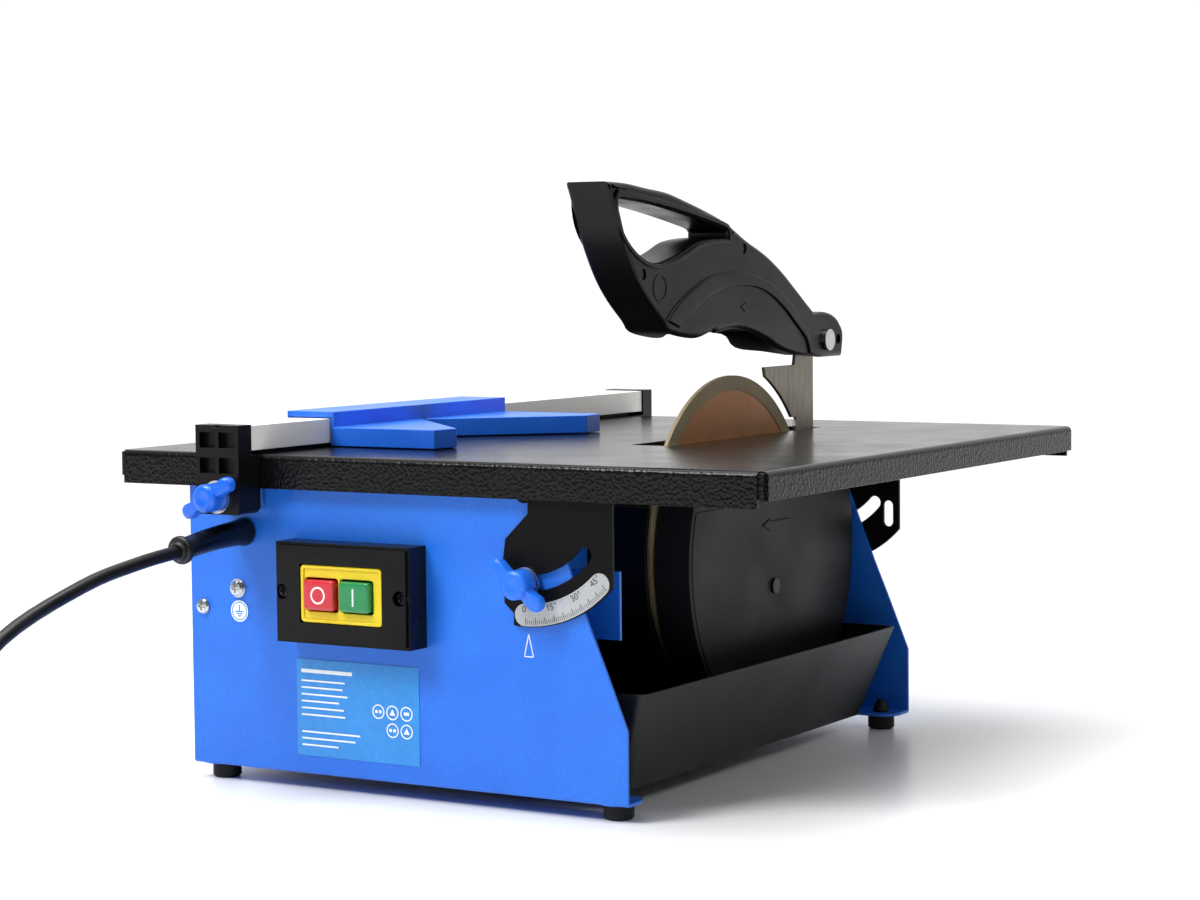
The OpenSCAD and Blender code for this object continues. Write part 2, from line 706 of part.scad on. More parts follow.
rib = [for (p = [[96, 215], [92, 224], [79, 237], [65, 247], [48, 255], [29, 260], [9, 263],
  [-9, 262], [-27, 260], [-44, 254], [-61, 246], [-72, 238], [-59, 234], [-48, 240],
  [-31, 248], [-14, 253], [7, 255], [27, 254], [43, 250], [60, 242], [74, 233], [87, 224],
  [91, 216]]) p + [0, gd]];
gscrews = [[-121, 302], [14, 275], [-95, 262], [129, 223]];
gw = guard_w / 2;
// half shell: side wall from x0 to x1, hollow from h0 to h1
module shell(outline, x0, x1, h0, h1) {
  difference() {
    yz(min(x0, h0), max(x1, h1)) polygon(outline);
    difference() {
      union() {
        yz(h0 > x0 ? h0 : h0 - 1, h0 > x0 ? h1 + 1 : h1) polygon(inset(outline, guard_wall));
        yz(h0 > x0 ? h0 : h0 - 1, h0 > x0 ? h1 + 1 : h1) polygon([[-64, 200], [150, 200],
          [150, 226 + gd], [120, 226 + gd], [100, 220 + gd], [-20, 238 + gd], [-64, 238 + gd]]);
      }
      yz(min(x0, h0) - 2, max(x1, h1) + 2) polygon(inset(grip, -2));
      for (p = [gscrews[1], gscrews[2]]) cx(blade_x - gw, p.x, p.y + gd, 4, 2 * gw);
    }
    yz(min(x0, h0) - 3, max(x1, h1) + 3) polygon(grip);
    cx(x0 - 3, gp.x, gp.y, 3, x1 - x0 + 6);
  }
}
module guard_shell_right() {
  color(black) difference() {
    union() {
      shell(g_right, blade_x + gw - guard_wall, blade_x + gw, blade_x, blade_x + gw - guard_wall);
      yz(blade_x + gw - 1, blade_x + gw + 1.2) polygon(rib);
    }
    for (p = [gscrews[1], gscrews[2]]) {
      cx(blade_x - 1, p.x, p.y + gd, 1.6, gw + 2);
      cx(blade_x + gw - 2.4, p.x, p.y + gd, 3, 4);
    }
    for (p = [gscrews[0], gscrews[3]]) cx(blade_x + gw - 1.2, p.x, p.y + gd, 3, 4);
  }
}
module guard_shell_left() {
  color(black) difference() {
    shell(g_left, blade_x - gw, blade_x - gw + guard_wall, blade_x - gw + guard_wall, blade_x);
    for (p = [gscrews[1], gscrews[2]]) cx(blade_x - gw + 3, p.x, p.y + gd, 1.6, gw);
  }
}
module guard_screws() {
  color(zinc) for (p = [gscrews[1], gscrews[2]]) {
    cx(blade_x - gw + 4, p.x, p.y + gd, 1.6, 2 * gw - 6.5);
    cx(blade_x + gw - 2.4, p.x, p.y + gd, 2.9, 1.6);
  }
}
module guard_pivot() {
  color(zinc) union() {
    cx(blade_x - gw - 4, gp.x, gp.y, 3, 2 * gw + 5);
    cx(blade_x + gw, gp.x, gp.y, 6.1, 2.4);
    translate([blade_x - gw - 4, gp.x, gp.y]) rotate([0, 90, 0]) cylinder(r = 5.8, h = 4, $fn = 6);
    ring_gp(knife_t / 2 + 0.2);
  }
}
// spacers that centre the guard on the knife
module ring_gp(o) {
  for (s = [-1, 1]) cx(blade_x + (s > 0 ? o : -gw + guard_wall + 0.2), gp.x, gp.y, 5,
    gw - guard_wall - o - 0.2);
}

// ---- water tray ---------------------------------------------------------------
tray_z = zb + sheet_t + gap;
tf = yf + 16.5;                     // tray's front
tb = yr - 16;
// rounded outline at height z, smaller by d, with walls that lean outward
function tray_ring(d, z) = let(k = (tray_rim - z) / (tray_rim - tray_z), r = max(5 - d, 1),
    x0 = tray_x0 + d + 6 * k + r, x1 = tray_x1 - d - 18 * k - r,
    y0 = tf + d + 12 * k + r, y1 = tb - d - 10 * k - r)
  [for (c = [[x1, y1, 0], [x0, y1, 90], [x0, y0, 180], [x1, y0, 270]], a = [0 : 22.5 : 90])
    [c.x + r * cos(c.z + a), c.y + r * sin(c.z + a), z]];
module tray_form(d, z0, z1) {
  a = tray_ring(d, z0);
  n = len(a);
  polyhedron(points = concat(a, tray_ring(d, z1)), faces = concat([[for (i = [0 : n - 1]) i]],
    [[for (i = [n - 1 : -1 : 0]) n + i]],
    [for (i = [0 : n - 1]) [i, n + i, n + (i + 1) % n, (i + 1) % n]]));
}
module water_tray() {
  color(grey) difference() {
    tray_form(0, tray_z, tray_rim);
    tray_form(tray_wall, tray_z + tray_wall, tray_rim + 0.5);
  }
}

// ---- fence --------------------------------------------------------------------
module fence_rail() {
  color([0.8, 0.81, 0.82]) difference() {
    box([rail_x0, -rail_y, rail_z0], [rail_x1, rail_y, rail_z1]);
    box([rail_x0 + rail_wall, -rail_y - 1, rail_z0 + rail_wall],
      [rail_x1 - rail_wall, rail_y + 1, rail_z1 - rail_wall]);
  }
}
module fence_glide() {
  color(black) box([rail_x0 + 3, -hy + 5, zt + gap], [rail_x1 - 3, hy - 5, rail_z0]);
}
module clamp() {
  x0 = fence_x;
  x1 = fence_x + fence_w;
  zc = zt - apron_ends - clamp_skirt;
  difference() {
    union() {
      box([x0, -clamp_f, zc + 3], [x1, -clamp_y, zt]);
      box([x0 + 3, -clamp_f, zc], [x1 - 3, -clamp_y, zt]);
      for (x = [x0 + 3, x1 - 3]) cy(x, -clamp_f, zc + 3, 3, clamp_f - clamp_y);
      box([x0, -clamp_f, zt - 1], [x1, -rail_y, rail_z1 + 0.6]);
    }
    for (x = [x0 + 2.6, x1 - 12.6], z = [zt - 9, zt + 4])
      box([x, -clamp_f - 1, z], [x + 10, -clamp_f + 4, z + 8]);
    cy(fence_mid, -clamp_f - 1, rail_z1 + 1.5, 2.6, 3);
    cy(fence_mid, -clamp_f - 1, knob_z, 2.8, 40);
  }
}
module fence_clamps() {
  color(black) {
    clamp();
    mirror([0, 1, 0]) clamp();
  }
}
pad_y = hy - table_t - 0.3;         // clamp plates' outer faces, negative at the front
module fence_pads() {
  color(zinc) for (s = [-1, 1]) difference() {
    box([fence_mid - 12, s * (pad_y - 1) - 1, knob_z - 7], [fence_mid + 12, s * (pad_y - 1) + 1, knob_z + 15]);
    cy(fence_mid, s * pad_y - 5, knob_z, 2.5 + run, 10);
  }
}
module fence_washers() {
  color(zinc) for (s = [-1, 1]) difference() {
    cy(fence_mid, s > 0 ? clamp_f : -clamp_f - 1.2, knob_z, 8.5, 1.2);
    cy(fence_mid, s * clamp_f - 4, knob_z, 2.8, 8);
  }
}
// knob with its steel stud moulded in
module clamp_knob() {
  translate([fence_mid, -clamp_f - 1.3, knob_z]) rotate([0, -31, 0]) wing_knob(2.5, 0.5);
  cy(fence_mid, -clamp_f - 1.9, knob_z, 2.5, clamp_f + 1.9 - pad_y + 3.1);
}
module fence_knob_front() { color(blue) clamp_knob(); }
module fence_knob_rear() {
  color(blue) translate([2 * fence_mid, 0, 0]) rotate([0, 0, 180]) clamp_knob();
}

// ---- angle guide --------------------------------------------------------------
ga = -131;                          // front end
gx = fence_x + fence_w + 2;         // right face of its channel
module angle_guide() {
  gxl = fence_x - 1.5;
  x2 = gx + guide_reach - 5;
  gm = ga + guide_l / 2;
  x0 = rail_x0 - play;
  x1 = rail_x1 + play;
  z1 = rail_z1 + play;
  module arm() {
    translate([0, 0, zt + play]) linear_extrude(guide_arm_h)
      polygon([[gx - guide_wall, ga], [x2, ga], [x2 + 2, ga + guide_nose],
        [gx, min(gm - 1, ga + guide_nose + x2 + 2 - gx)],
        [gx - guide_wall, min(gm - 1, ga + guide_nose + x2 + 2 - gx)]]);
  }
  color(blue) difference() {
    union() {
      box([gxl, ga, zt + play], [gx, ga + guide_l, z1 + 3.2]);
      arm();
      translate([0, 2 * gm, 0]) mirror([0, 1, 0]) arm();
    }
    box([x0, ga - 1, zt], [x1, ga + guide_l + 1, z1]);
  }
}

// ---- mains lead ---------------------------------------------------------------
cr0 = cord_d / 2;
rp = [[gland_x, yf, gland_z], [gland_x, yf - 20, gland_z - 1], [gland_x, yf - relief_l, gland_z - 5.8]];
// tube along a list of points
function ring(p, u, r, n) = let(a = unit(cross(u, [0.31, 0.17, 0.93])), b = cross(u, a))
  [for (i = [0 : n - 1]) p + r * (cos(360 * i / n) * a + sin(360 * i / n) * b)];
module tube(pts, r, n) {
  m = len(pts);
  polyhedron(concat(
      [for (k = [0 : m - 1]) each ring(pts[k],
        unit(pts[min(k + 1, m - 1)] - pts[max(k - 1, 0)]), r, n)]),
    concat([[for (i = [0 : n - 1]) n - 1 - i]],
      [for (k = [0 : m - 2], i = [0 : n - 1])
        [k * n + i, k * n + (i + 1) % n, (k + 1) * n + (i + 1) % n, (k + 1) * n + i]],
      [[for (i = [0 : n - 1]) (m - 1) * n + i]]));
}
// smooth curve through the route points
function cr_pt(a, b, c, d, t) = 0.5 * (2 * b + (c - a) * t + (2 * a - 5 * b + 4 * c - d) * t * t
  + (3 * b - a - 3 * c + d) * t * t * t);
function smooth(p, n) = let(m = len(p)) concat([for (i = [0 : m - 2], j = [0 : n - 1])
  cr_pt(p[max(i - 1, 0)], p[i], p[i + 1], p[min(i + 2, m - 1)], j / n)], [p[m - 1]]);
coil_r = 41;
coil_c = [-172, -520];
coil_h = 3 * cord_d;
module relief_sleeve() {
  translate([gland_x, yf, gland_z]) rotate([90 + 5.8, 0, 0]) {
    translate([0, 0, 1.3]) cylinder(r = 6.2, h = relief_l - 5.3);
    translate([0, 0, relief_l - 12]) cylinder(r = 7, h = 8);
    translate([0, 0, relief_l - 5]) cylinder(r = 5.2, h = 5);
  }
}
module strain_relief() {
  color(black) union() {
    relief_sleeve();
    cy(gland_x, yf - 2.6, gland_z, 7.5, 2.6);
    cy(gland_x, yf - 1, gland_z, 5.4, 7);
  }
}
rx = yf - relief_l * cos(5.8);      // relief's tip
rz = gland_z - relief_l * sin(5.8);
route = [[gland_x, rx, rz], [gland_x, rx - 30, rz - 3], [gland_x, rx - 70, rz - 10],
  [gland_x, rx - 126, 97], [gland_x, rx - 165, 66], [gland_x - 1, rx - 195, 32],
  [gland_x - 4, rx - 222, 12], [-123, -495, 5], [coil_c.x + coil_r + 4, coil_c.y, 4]];
tail_y = coil_c.y - coil_r - cr0;
tail = [[coil_c.x - 12, tail_y, 16.5], [coil_c.x - 34, tail_y, 12], [coil_c.x - 54, tail_y, 10],
  [coil_c.x - 72, tail_y, 15], [coil_c.x - 88, tail_y, 19]];
module cord_lead() {
  color(black) {
    tube(smooth(route, 7), cr0, 10);
    tube(smooth(tail, 4), cr0, 10);
  }
}
plug = [coil_c.x - 88, tail_y, 19];
module cord_plug() {
  color(black) translate(plug) rotate([0, -90, 0]) union() {
    cylinder(r = 6, h = 14);
    translate([0, 0, 12]) cylinder(r = 14, h = 28);
    translate([0, 0, 38]) cylinder(r = 18.8, h = 10);
  }
}
module plug_pins() {
  color(zinc) for (s = [-1, 1]) cx(plug.x - 67, plug.y + s * 9.5, plug.z, 2.4, 19);
}
module cord_coil() {
  color(black) translate([coil_c.x, coil_c.y, 0]) rotate_extrude()
    translate([coil_r - cord_d, 0]) square([2 * cord_d, coil_h]);
}

table_top();
tilt_bracket_front();
tilt_bracket_rear();
angle_scale();
front_panel();
rear_panel();
side_panel();
motor_bracket();
rubber_feet();
casing_screws();
earth_screw();
labels();
switch_housing();
switch_frame();
switch_block();
switch_screws();
stop_button();
start_button();
pivot_rivets();
tilt_bolts();
tilt_washers();
tilt_knob_front();
tilt_knob_rear();
motor_stator();
motor_windings();
motor_end_bells();
motor_screws();
shaft_bearings();
run_capacitor();
motor_shaft();
motor_rotor();
cooling_fan();
blade_core();
blade_rim();
blade_flanges();
arbor_nut();
riving_knife();
knife_bracket();
knife_screws();
lower_guard_inner();
lower_guard_cover();
lower_guard_screws();
guard_shell_right();
guard_shell_left();
guard_screws();
guard_pivot();
water_tray();
fence_rail();
fence_glide();
fence_clamps();
fence_pads();
fence_washers();
fence_knob_front();
fence_knob_rear();
angle_guide();
strain_relief();
cord_lead();
cord_coil();
cord_plug();
plug_pins();
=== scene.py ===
"""Looks of a bench tile cutter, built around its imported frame.

The steel, plastic and rubber pieces keep the frame's shapes, with broken edges and
real finishes. The wing knobs, the mains lead, the plug, the printed film, the
angle scale and the switch's signs are made here.
"""

import json
import logging
import math
from dataclasses import dataclass, field
from enum import Enum
from typing import Callable, Dict, List, Optional, Sequence, Tuple

import bmesh
import bpy
from mathutils import Matrix, Vector
from mathutils.geometry import tessellate_polygon


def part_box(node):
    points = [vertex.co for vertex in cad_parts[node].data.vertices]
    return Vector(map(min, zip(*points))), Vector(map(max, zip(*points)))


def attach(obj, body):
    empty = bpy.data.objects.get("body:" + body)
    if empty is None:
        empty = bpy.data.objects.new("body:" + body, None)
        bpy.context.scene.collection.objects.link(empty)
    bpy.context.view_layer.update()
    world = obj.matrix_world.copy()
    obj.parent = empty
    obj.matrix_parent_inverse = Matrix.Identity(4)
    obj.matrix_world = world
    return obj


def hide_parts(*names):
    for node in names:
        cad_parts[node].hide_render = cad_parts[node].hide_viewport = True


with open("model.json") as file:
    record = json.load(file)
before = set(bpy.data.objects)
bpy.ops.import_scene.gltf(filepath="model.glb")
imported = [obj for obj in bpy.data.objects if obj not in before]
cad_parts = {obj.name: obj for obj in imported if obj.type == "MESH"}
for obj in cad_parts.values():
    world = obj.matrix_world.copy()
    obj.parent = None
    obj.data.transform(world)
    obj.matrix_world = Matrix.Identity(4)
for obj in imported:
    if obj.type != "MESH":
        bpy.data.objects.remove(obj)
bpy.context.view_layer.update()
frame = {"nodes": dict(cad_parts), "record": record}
log = logging.getLogger("tile_cutter")

MM = 0.001
INK_PROUD = 0.00008  # how far printed ink stands out of its surface, in metres
INK_SUNK = 0.0001  # how far it reaches in, in metres
Flat = Tuple[float, float]
Point = Tuple[float, float, float]
BODY_OF: Dict[str, str] = {
    node: body
    for body, nodes in frame["record"]["behaviour"]["bodies"].items()
    for node in nodes
}


# ---- small helpers ------------------------------------------------------------
def linear(code: str) -> Tuple[float, float, float, float]:
    """Turns an sRGB hex value into linear colour.

    Args:
        code: Six hex digits, such as "1f6fe0".

    Returns:
        Linear red, green, blue and an alpha of 1.
    """
    parts = [int(code[i:i + 2], 16) / 255 for i in (0, 2, 4)]
    lin = [c / 12.92 if c <= 0.04045 else ((c + 0.055) / 1.055) ** 2.4 for c in parts]
    return (lin[0], lin[1], lin[2], 1.0)


def add(tree: bpy.types.NodeTree, kind: str, inputs: Optional[dict] = None,
        **settings: object) -> bpy.types.Node:
    """Adds a node with its settings, values and links.

    Args:
        tree: The node tree that takes the node.
        kind: The node's type name.
        inputs: Socket name or number to a value, or to an output socket to link from.
        **settings: Properties of the node itself.

    Returns:
        The new node.
    """
    node = tree.nodes.new(kind)
    for name, value in settings.items():
        setattr(node, name, value)
    for name, value in (inputs or {}).items():
        if isinstance(value, bpy.types.NodeSocket):
            tree.links.new(value, node.inputs[name])
        else:
            node.inputs[name].default_value = value
    return node


class Surface(Enum):
    """How a surface was made, which sets the pattern of its relief."""

    ORANGE_PEEL = "sprayed or powder coated"
    HAMMERED = "coarse powder coat"
    MOULDED = "spark-eroded mould texture"
    BRUSHED = "ground or drawn along one direction"
    GRIT = "sintered or cast"
    SMOOTH = "polished or plated"


@dataclass(frozen=True)
class Finish:
    """One real finish, with its colours, gloss and relief.

    Sizes are in millimetres: grain is the spacing of the relief and depth its height.
    """

    name: str
    colour: str
    second: str
    surface: Surface
    roughness: float
    grain: float
    depth: float
    metallic: float = 0.0
    coat: float = 0.0
    ior: float = 1.5
    cloud: float = 30.0
    spread: float = 0.08
    stretch: Point = (1.0, 1.0, 1.0)
    calm: float = 0.0

    def build(self) -> bpy.types.Material:
        """Makes the material once, and returns it."""
        if self.name in bpy.data.materials:
            return bpy.data.materials[self.name]
        mat = bpy.data.materials.new(self.name)
        mat.use_nodes = True
        tree = mat.node_tree
        tree.nodes.clear()
        place = add(tree, "ShaderNodeTexCoord").outputs["Object"]
        axes = add(tree, "ShaderNodeMapping", {"Vector": place, "Scale": self.stretch}).outputs[0]
        cloud = add(tree, "ShaderNodeTexNoise", {
            "Vector": axes, "Scale": 1 / (self.cloud * MM), "Detail": 3.0}).outputs["Fac"]
        if self.surface is Surface.HAMMERED:
            relief = add(tree, "ShaderNodeTexVoronoi", {
                "Vector": axes, "Scale": 1 / (self.grain * MM), "Smoothness": 0.7,
                "Randomness": 1.0}, feature="SMOOTH_F1").outputs["Distance"]
        else:
            rough_detail = 5.0 if self.surface in (Surface.GRIT, Surface.BRUSHED) else 2.0
            relief = add(tree, "ShaderNodeTexNoise", {
                "Vector": axes, "Scale": 1 / (self.grain * MM), "Detail": rough_detail}).outputs["Fac"]
        tint = add(tree, "ShaderNodeMath", {0: cloud, 1: relief}, operation="MULTIPLY").outputs[0]
        tint = add(tree, "ShaderNodeMapRange", {
            "Value": tint, "From Min": 0.12, "From Max": 0.42}).outputs[0]
        colour = add(tree, "ShaderNodeMix", {
            "Factor": tint, 6: linear(self.colour), 7: linear(self.second)}, data_type="RGBA").outputs[2]
        rough = add(tree, "ShaderNodeMapRange", {
            "Value": cloud, "From Min": 0.3, "From Max": 0.7,
            "To Min": max(0.03, self.roughness - self.spread),
            "To Max": min(1.0, self.roughness + self.spread)}).outputs[0]
        bump = add(tree, "ShaderNodeBump", {
            "Height": relief, "Strength": 0.0 if self.depth == 0 else 0.8, "Distance": self.depth * MM})
        if self.calm > 0:
            facing = add(tree, "ShaderNodeSeparateXYZ", {
                0: add(tree, "ShaderNodeTexCoord").outputs["Normal"]}).outputs["Z"]
            level = add(tree, "ShaderNodeMath", {0: facing}, operation="ABSOLUTE").outputs[0]
            strength = add(tree, "ShaderNodeMapRange", {
                "Value": level, "To Min": 0.9, "To Max": 0.9 * (1 - self.calm)}).outputs[0]
            tree.links.new(strength, bump.inputs["Strength"])
        bump = bump.outputs[0]
        shader = add(tree, "ShaderNodeBsdfPrincipled", {
            "Base Color": colour, "Roughness": rough, "Normal": bump,
            "Metallic": self.metallic, "IOR": self.ior, "Coat Weight": self.coat,
            "Coat Roughness": 0.12})
        add(tree, "ShaderNodeOutputMaterial", {"Surface": shader.outputs[0]})
        mat.diffuse_color = linear(self.colour)
        return mat


# Black powder coat: a glossy skin with rounded dimples about 1.5 mm apart.
TABLE_COAT = Finish("black_hammer_powder_coat", "070708", "0f1011", Surface.HAMMERED, 0.22, 1.7, 0.3,
                    ior=1.3, spread=0.03, calm=0.9)
# Blue powder coat: bright, half gloss, with fine orange peel.
BLUE_COAT = Finish("blue_powder_coat", "1567d8", "1d75e6", Surface.ORANGE_PEEL, 0.42, 1.4, 0.06, coat=0.08)
# Thin satin black paint on the folded brackets.
BLACK_PAINT = Finish("satin_black_paint", "060607", "0c0c0d", Surface.ORANGE_PEEL, 0.4, 1.2, 0.03, ior=1.22)
# Moulded ABS, black, with a fine spark texture that takes soft highlights.
BLACK_ABS = Finish("satin_black_abs", "060607", "0d0d0e", Surface.MOULDED, 0.33, 0.7, 0.02, ior=1.3)
# The lower guard's ABS is greyer and more scuffed.
GREY_ABS = Finish("dark_grey_abs", "18181a", "222224", Surface.MOULDED, 0.5, 0.8, 0.03, ior=1.3, cloud=45)
# Polypropylene tray: waxy, dark, with a dull shine.
TRAY_PP = Finish("dark_polypropylene", "19191b", "232325", Surface.MOULDED, 0.42, 1.0, 0.03,
                 ior=1.38, cloud=60)
# Blue polypropylene of the knobs and the angle guide.
BLUE_PP = Finish("blue_polypropylene", "1562de", "2478ee", Surface.MOULDED, 0.36, 0.9, 0.02, ior=1.49)
# Extruded aluminium, satin anodised to a pale, nearly white skin with drawing lines along the rail.
ANODISED = Finish("anodised_aluminium", "eceae6", "f4f3f0", Surface.BRUSHED, 0.42, 0.8, 0.015,
                  metallic=0.1, stretch=(1.0, 0.03, 1.0))
# Bright zinc plate on screws, washers and rivets.
ZINC = Finish("bright_zinc_plate", "b4b7bb", "d6d8da", Surface.GRIT, 0.24, 0.6, 0.01, metallic=1.0)
# Zinc screws painted near black: painted shade that stands in for the shade deep in the dark holes they sit
# in.
ZINC_PAINTED_SHADE = Finish("screw_painted_shade", "1a1a1c", "343437", Surface.GRIT, 0.3, 0.6, 0.01, metallic=1.0)
# Ground tool steel of shafts and flanges.
GROUND = Finish("ground_steel", "8f8f90", "b0b0b0", Surface.BRUSHED, 0.3, 0.5, 0.01, metallic=1.0)
# Hot-rolled knife steel: warm grey and dull.
KNIFE = Finish("rolled_knife_steel", "7d766c", "aaa294", Surface.BRUSHED, 0.42, 1.2, 0.02,
               metallic=0.8, stretch=(1.0, 1.0, 0.08))
# The blade's body wears a copper-toned lacquer over steel.
COPPER = Finish("copper_toned_blade", "8e5a2e", "b07843", Surface.GRIT, 0.4, 0.9, 0.02,
                metallic=0.5, cloud=18)
# Sintered diamond rim: matt bronze-grey grit.
DIAMOND = Finish("sintered_diamond_rim", "7d6e54", "a39474", Surface.GRIT, 0.6, 0.5, 0.05, metallic=0.3)
# Etched aluminium strip of the angle scale, with a fine matt skin.
ETCHED = Finish("etched_scale_strip", "aeb0b0", "c2c4c4", Surface.GRIT, 0.42, 0.8, 0.01, metallic=0.6)
# Vulcanised rubber: matt, with a faint bloom.
RUBBER = Finish("matt_black_rubber", "0c0c0d", "161617", Surface.MOULDED, 0.6, 0.8, 0.03, ior=1.4)
# Soft PVC of the lead: smooth and a little shiny.
LEAD_PVC = Finish("black_pvc_sheath", "070708", "0f0f10", Surface.MOULDED, 0.33, 1.0, 0.02, ior=1.42)
# Vinyl film printed light blue, with a clear glossy face.
FILM = Finish("printed_blue_film", "1582d6", "2290e2", Surface.SMOOTH, 0.22, 3.0, 0.0, coat=0.2)
# Flat screen inks.
INK_WHITE = Finish("white_ink", "e8eef2", "f6f9fb", Surface.SMOOTH, 0.4, 2.0, 0.0)
INK_BLACK = Finish("black_ink", "101012", "1a1a1c", Surface.SMOOTH, 0.5, 2.0, 0.0)
# Glossy ABS of the switch's frame and buttons.
YELLOW = Finish("yellow_abs", "d8bd14", "ead024", Surface.MOULDED, 0.3, 0.7, 0.01)
RED = Finish("red_abs", "b81626", "cc2234", Surface.MOULDED, 0.2, 0.7, 0.005, coat=0.4)
GREEN = Finish("green_abs", "0c7440", "128a4c", Surface.MOULDED, 0.2, 0.7, 0.005, coat=0.4)
# Edges of punched steel sheets stacked along the motor.
LAMINATION = Finish("stacked_laminations", "3a3a3c", "58585a", Surface.BRUSHED, 0.5, 0.5, 0.05,
                    metallic=0.8, stretch=(1.0, 0.02, 0.02))
# Copper wire under baked red-brown varnish, wire about 0.8 mm thick.
VARNISH = Finish("dark_red_winding_varnish", "4a0d0a", "7a1c14", Surface.BRUSHED, 0.3, 0.8, 0.12, coat=0.4)
# Die-cast aluminium with a coarse as-cast skin.
CASTING = Finish("cast_aluminium", "8d9092", "abaeb0", Surface.GRIT, 0.5, 1.2, 0.06, metallic=0.8)
# White plastic can of the capacitor.
CAN = Finish("white_capacitor_can", "c9c9c4", "dcdcd8", Surface.MOULDED, 0.45, 1.0, 0.01)
# Bright nickel of the plug's pins.
NICKEL = Finish("nickel_plate", "b8b2a4", "d4cfc2", Surface.GRIT, 0.18, 0.5, 0.005, metallic=1.0)
# White studio floor with a soft sheen.
PALE_FLOOR = Finish("pale_studio_floor", "f4f5f6", "f6f7f8", Surface.SMOOTH, 0.28, 40.0, 0.0, ior=1.3,
                    cloud=900, spread=0.0)


def mesh_object(name: str, mesh: bpy.types.Mesh, finish: Finish, smooth: float = 35.0) -> bpy.types.Object:
    """Wraps a finished mesh as an object with one material.

    Args:
        name: The piece's name.
        mesh: Its mesh, already in place.
        finish: What it is made of.
        smooth: Edges sharper than this many degrees stay sharp.

    Returns:
        The new object, linked to the scene.
    """
    obj = bpy.data.objects.new(name, mesh)
    bpy.context.collection.objects.link(obj)
    mesh.materials.clear()
    mesh.materials.append(finish.build())
    mesh.polygons.foreach_set("use_smooth", [True] * len(mesh.polygons))
    mesh.set_sharp_from_angle(angle=math.radians(smooth))
    mesh.update()
    return obj


def weigh(obj: bpy.types.Object) -> None:
    """Keeps flat faces flat, and turns only the broken edges between them."""
    modifier = obj.modifiers.new("weighted", "WEIGHTED_NORMAL")
    modifier.keep_sharp = True
    modifier.weight = 60


def from_bmesh(name: str, bm: bmesh.types.BMesh, finish: Finish, smooth: float = 35.0) -> bpy.types.Object:
    """Turns a bmesh into an object, with its faces outward."""
    bmesh.ops.remove_doubles(bm, verts=bm.verts, dist=1e-6)
    bmesh.ops.recalc_face_normals(bm, faces=bm.faces)
    if bm.calc_volume(signed=True) < 0:
        bmesh.ops.reverse_faces(bm, faces=bm.faces)
    mesh = bpy.data.meshes.new(name)
    bm.to_mesh(mesh)
    bm.free()
    return mesh_object(name, mesh, finish, smooth)


def dress(node: str, finish: Finish) -> None:
    """Gives a frame node that keeps its shape a real finish."""
    obj = frame["nodes"][node]
    obj.data.materials.clear()
    obj.data.materials.append(finish.build())
    log.info("%s: %s", node, finish.name)


def dress_all(finish: Finish, *nodes: str) -> None:
    """Gives several frame nodes one real finish."""
    for node in nodes:
        dress(node, finish)


def soften(node: str, finish: Finish, width: float, smooth: float = 35.0) -> bpy.types.Object:
    """Stands a copy with broken edges in for a sharp-edged frame node.

    Args:
        node: The frame node.
        finish: What it is made of.
        width: Width of the broken edge, in millimetres.
        smooth: Edges sharper than this many degrees stay sharp.

    Returns:
        The new piece, riding on the node's body.
    """
    bm = bmesh.new()
    bm.from_mesh(frame["nodes"][node].data)
    bmesh.ops.remove_doubles(bm, verts=bm.verts, dist=2e-6)
    bmesh.ops.dissolve_limit(bm, angle_limit=math.radians(0.6), verts=bm.verts, edges=bm.edges)
    sharp = [e for e in bm.edges if len(e.link_faces) == 2 and e.calc_face_angle(0.0) > math.radians(28)]
    bmesh.ops.bevel(bm, geom=sharp, offset=width * MM, offset_type="OFFSET", segments=2,
                    profile=0.5, affect="EDGES", clamp_overlap=True)
    mesh = bpy.data.meshes.new(node + "_edged")
    bm.to_mesh(mesh)
    bm.free()
    piece = mesh_object(node + "_edged", mesh, finish, smooth)
    weigh(piece)
    return stand_in(piece, node)


def skin(bm: bmesh.types.BMesh, low: Sequence[bmesh.types.BMVert],
         high: Sequence[bmesh.types.BMVert]) -> None:
    """Joins two closed rings of points with a band of faces."""
    count = len(low)
    for i in range(count):
        j = (i + 1) % count
        bm.faces.new((low[i], low[j], high[j], high[i]))


def stand_in(piece: bpy.types.Object, node: str) -> bpy.types.Object:
    """Rides a piece on a frame node's body in place of that node, and reports it."""
    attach(piece, BODY_OF[node])
    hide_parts(node)
    log.info("%s stands in for %s", piece.name, node)
    return piece


def lathe(bm: bmesh.types.BMesh, profile: Sequence[Flat], start: Vector, axis: Vector,
          sides: int = 40) -> None:
    """Turns a profile about an axis, closed at both ends.

    Args:
        bm: Takes the new faces.
        profile: Distance along the axis and radius, in metres.
        start: Where distance is zero.
        axis: The axis, of any length.
        sides: Number of sides.
    """
    axis = axis.normalized()
    side = axis.orthogonal().normalized()
    other = axis.cross(side)
    rings = []
    for along, radius in profile:
        rings.append([bm.verts.new(start + axis * along
                                   + (side * math.cos(a) + other * math.sin(a)) * radius)
                      for a in (2 * math.pi * i / sides for i in range(sides))])
    for low, high in zip(rings, rings[1:]):
        skin(bm, low, high)
    bm.faces.new(list(reversed(rings[0])))
    bm.faces.new(rings[-1])


def slab(bm: bmesh.types.BMesh, outline: Sequence[Flat], front: float, back: float) -> None:
    """Gives an outline in XZ a thickness along Y, in metres."""
    ends = [[bm.verts.new((x, y, z)) for x, z in outline] for y in (front, back)]
    count = len(outline)
    bm.faces.new(ends[0])
    bm.faces.new(list(reversed(ends[1])))
    for i in range(count):
        bm.faces.new((ends[0][i], ends[1][i], ends[1][(i + 1) % count], ends[0][(i + 1) % count]))


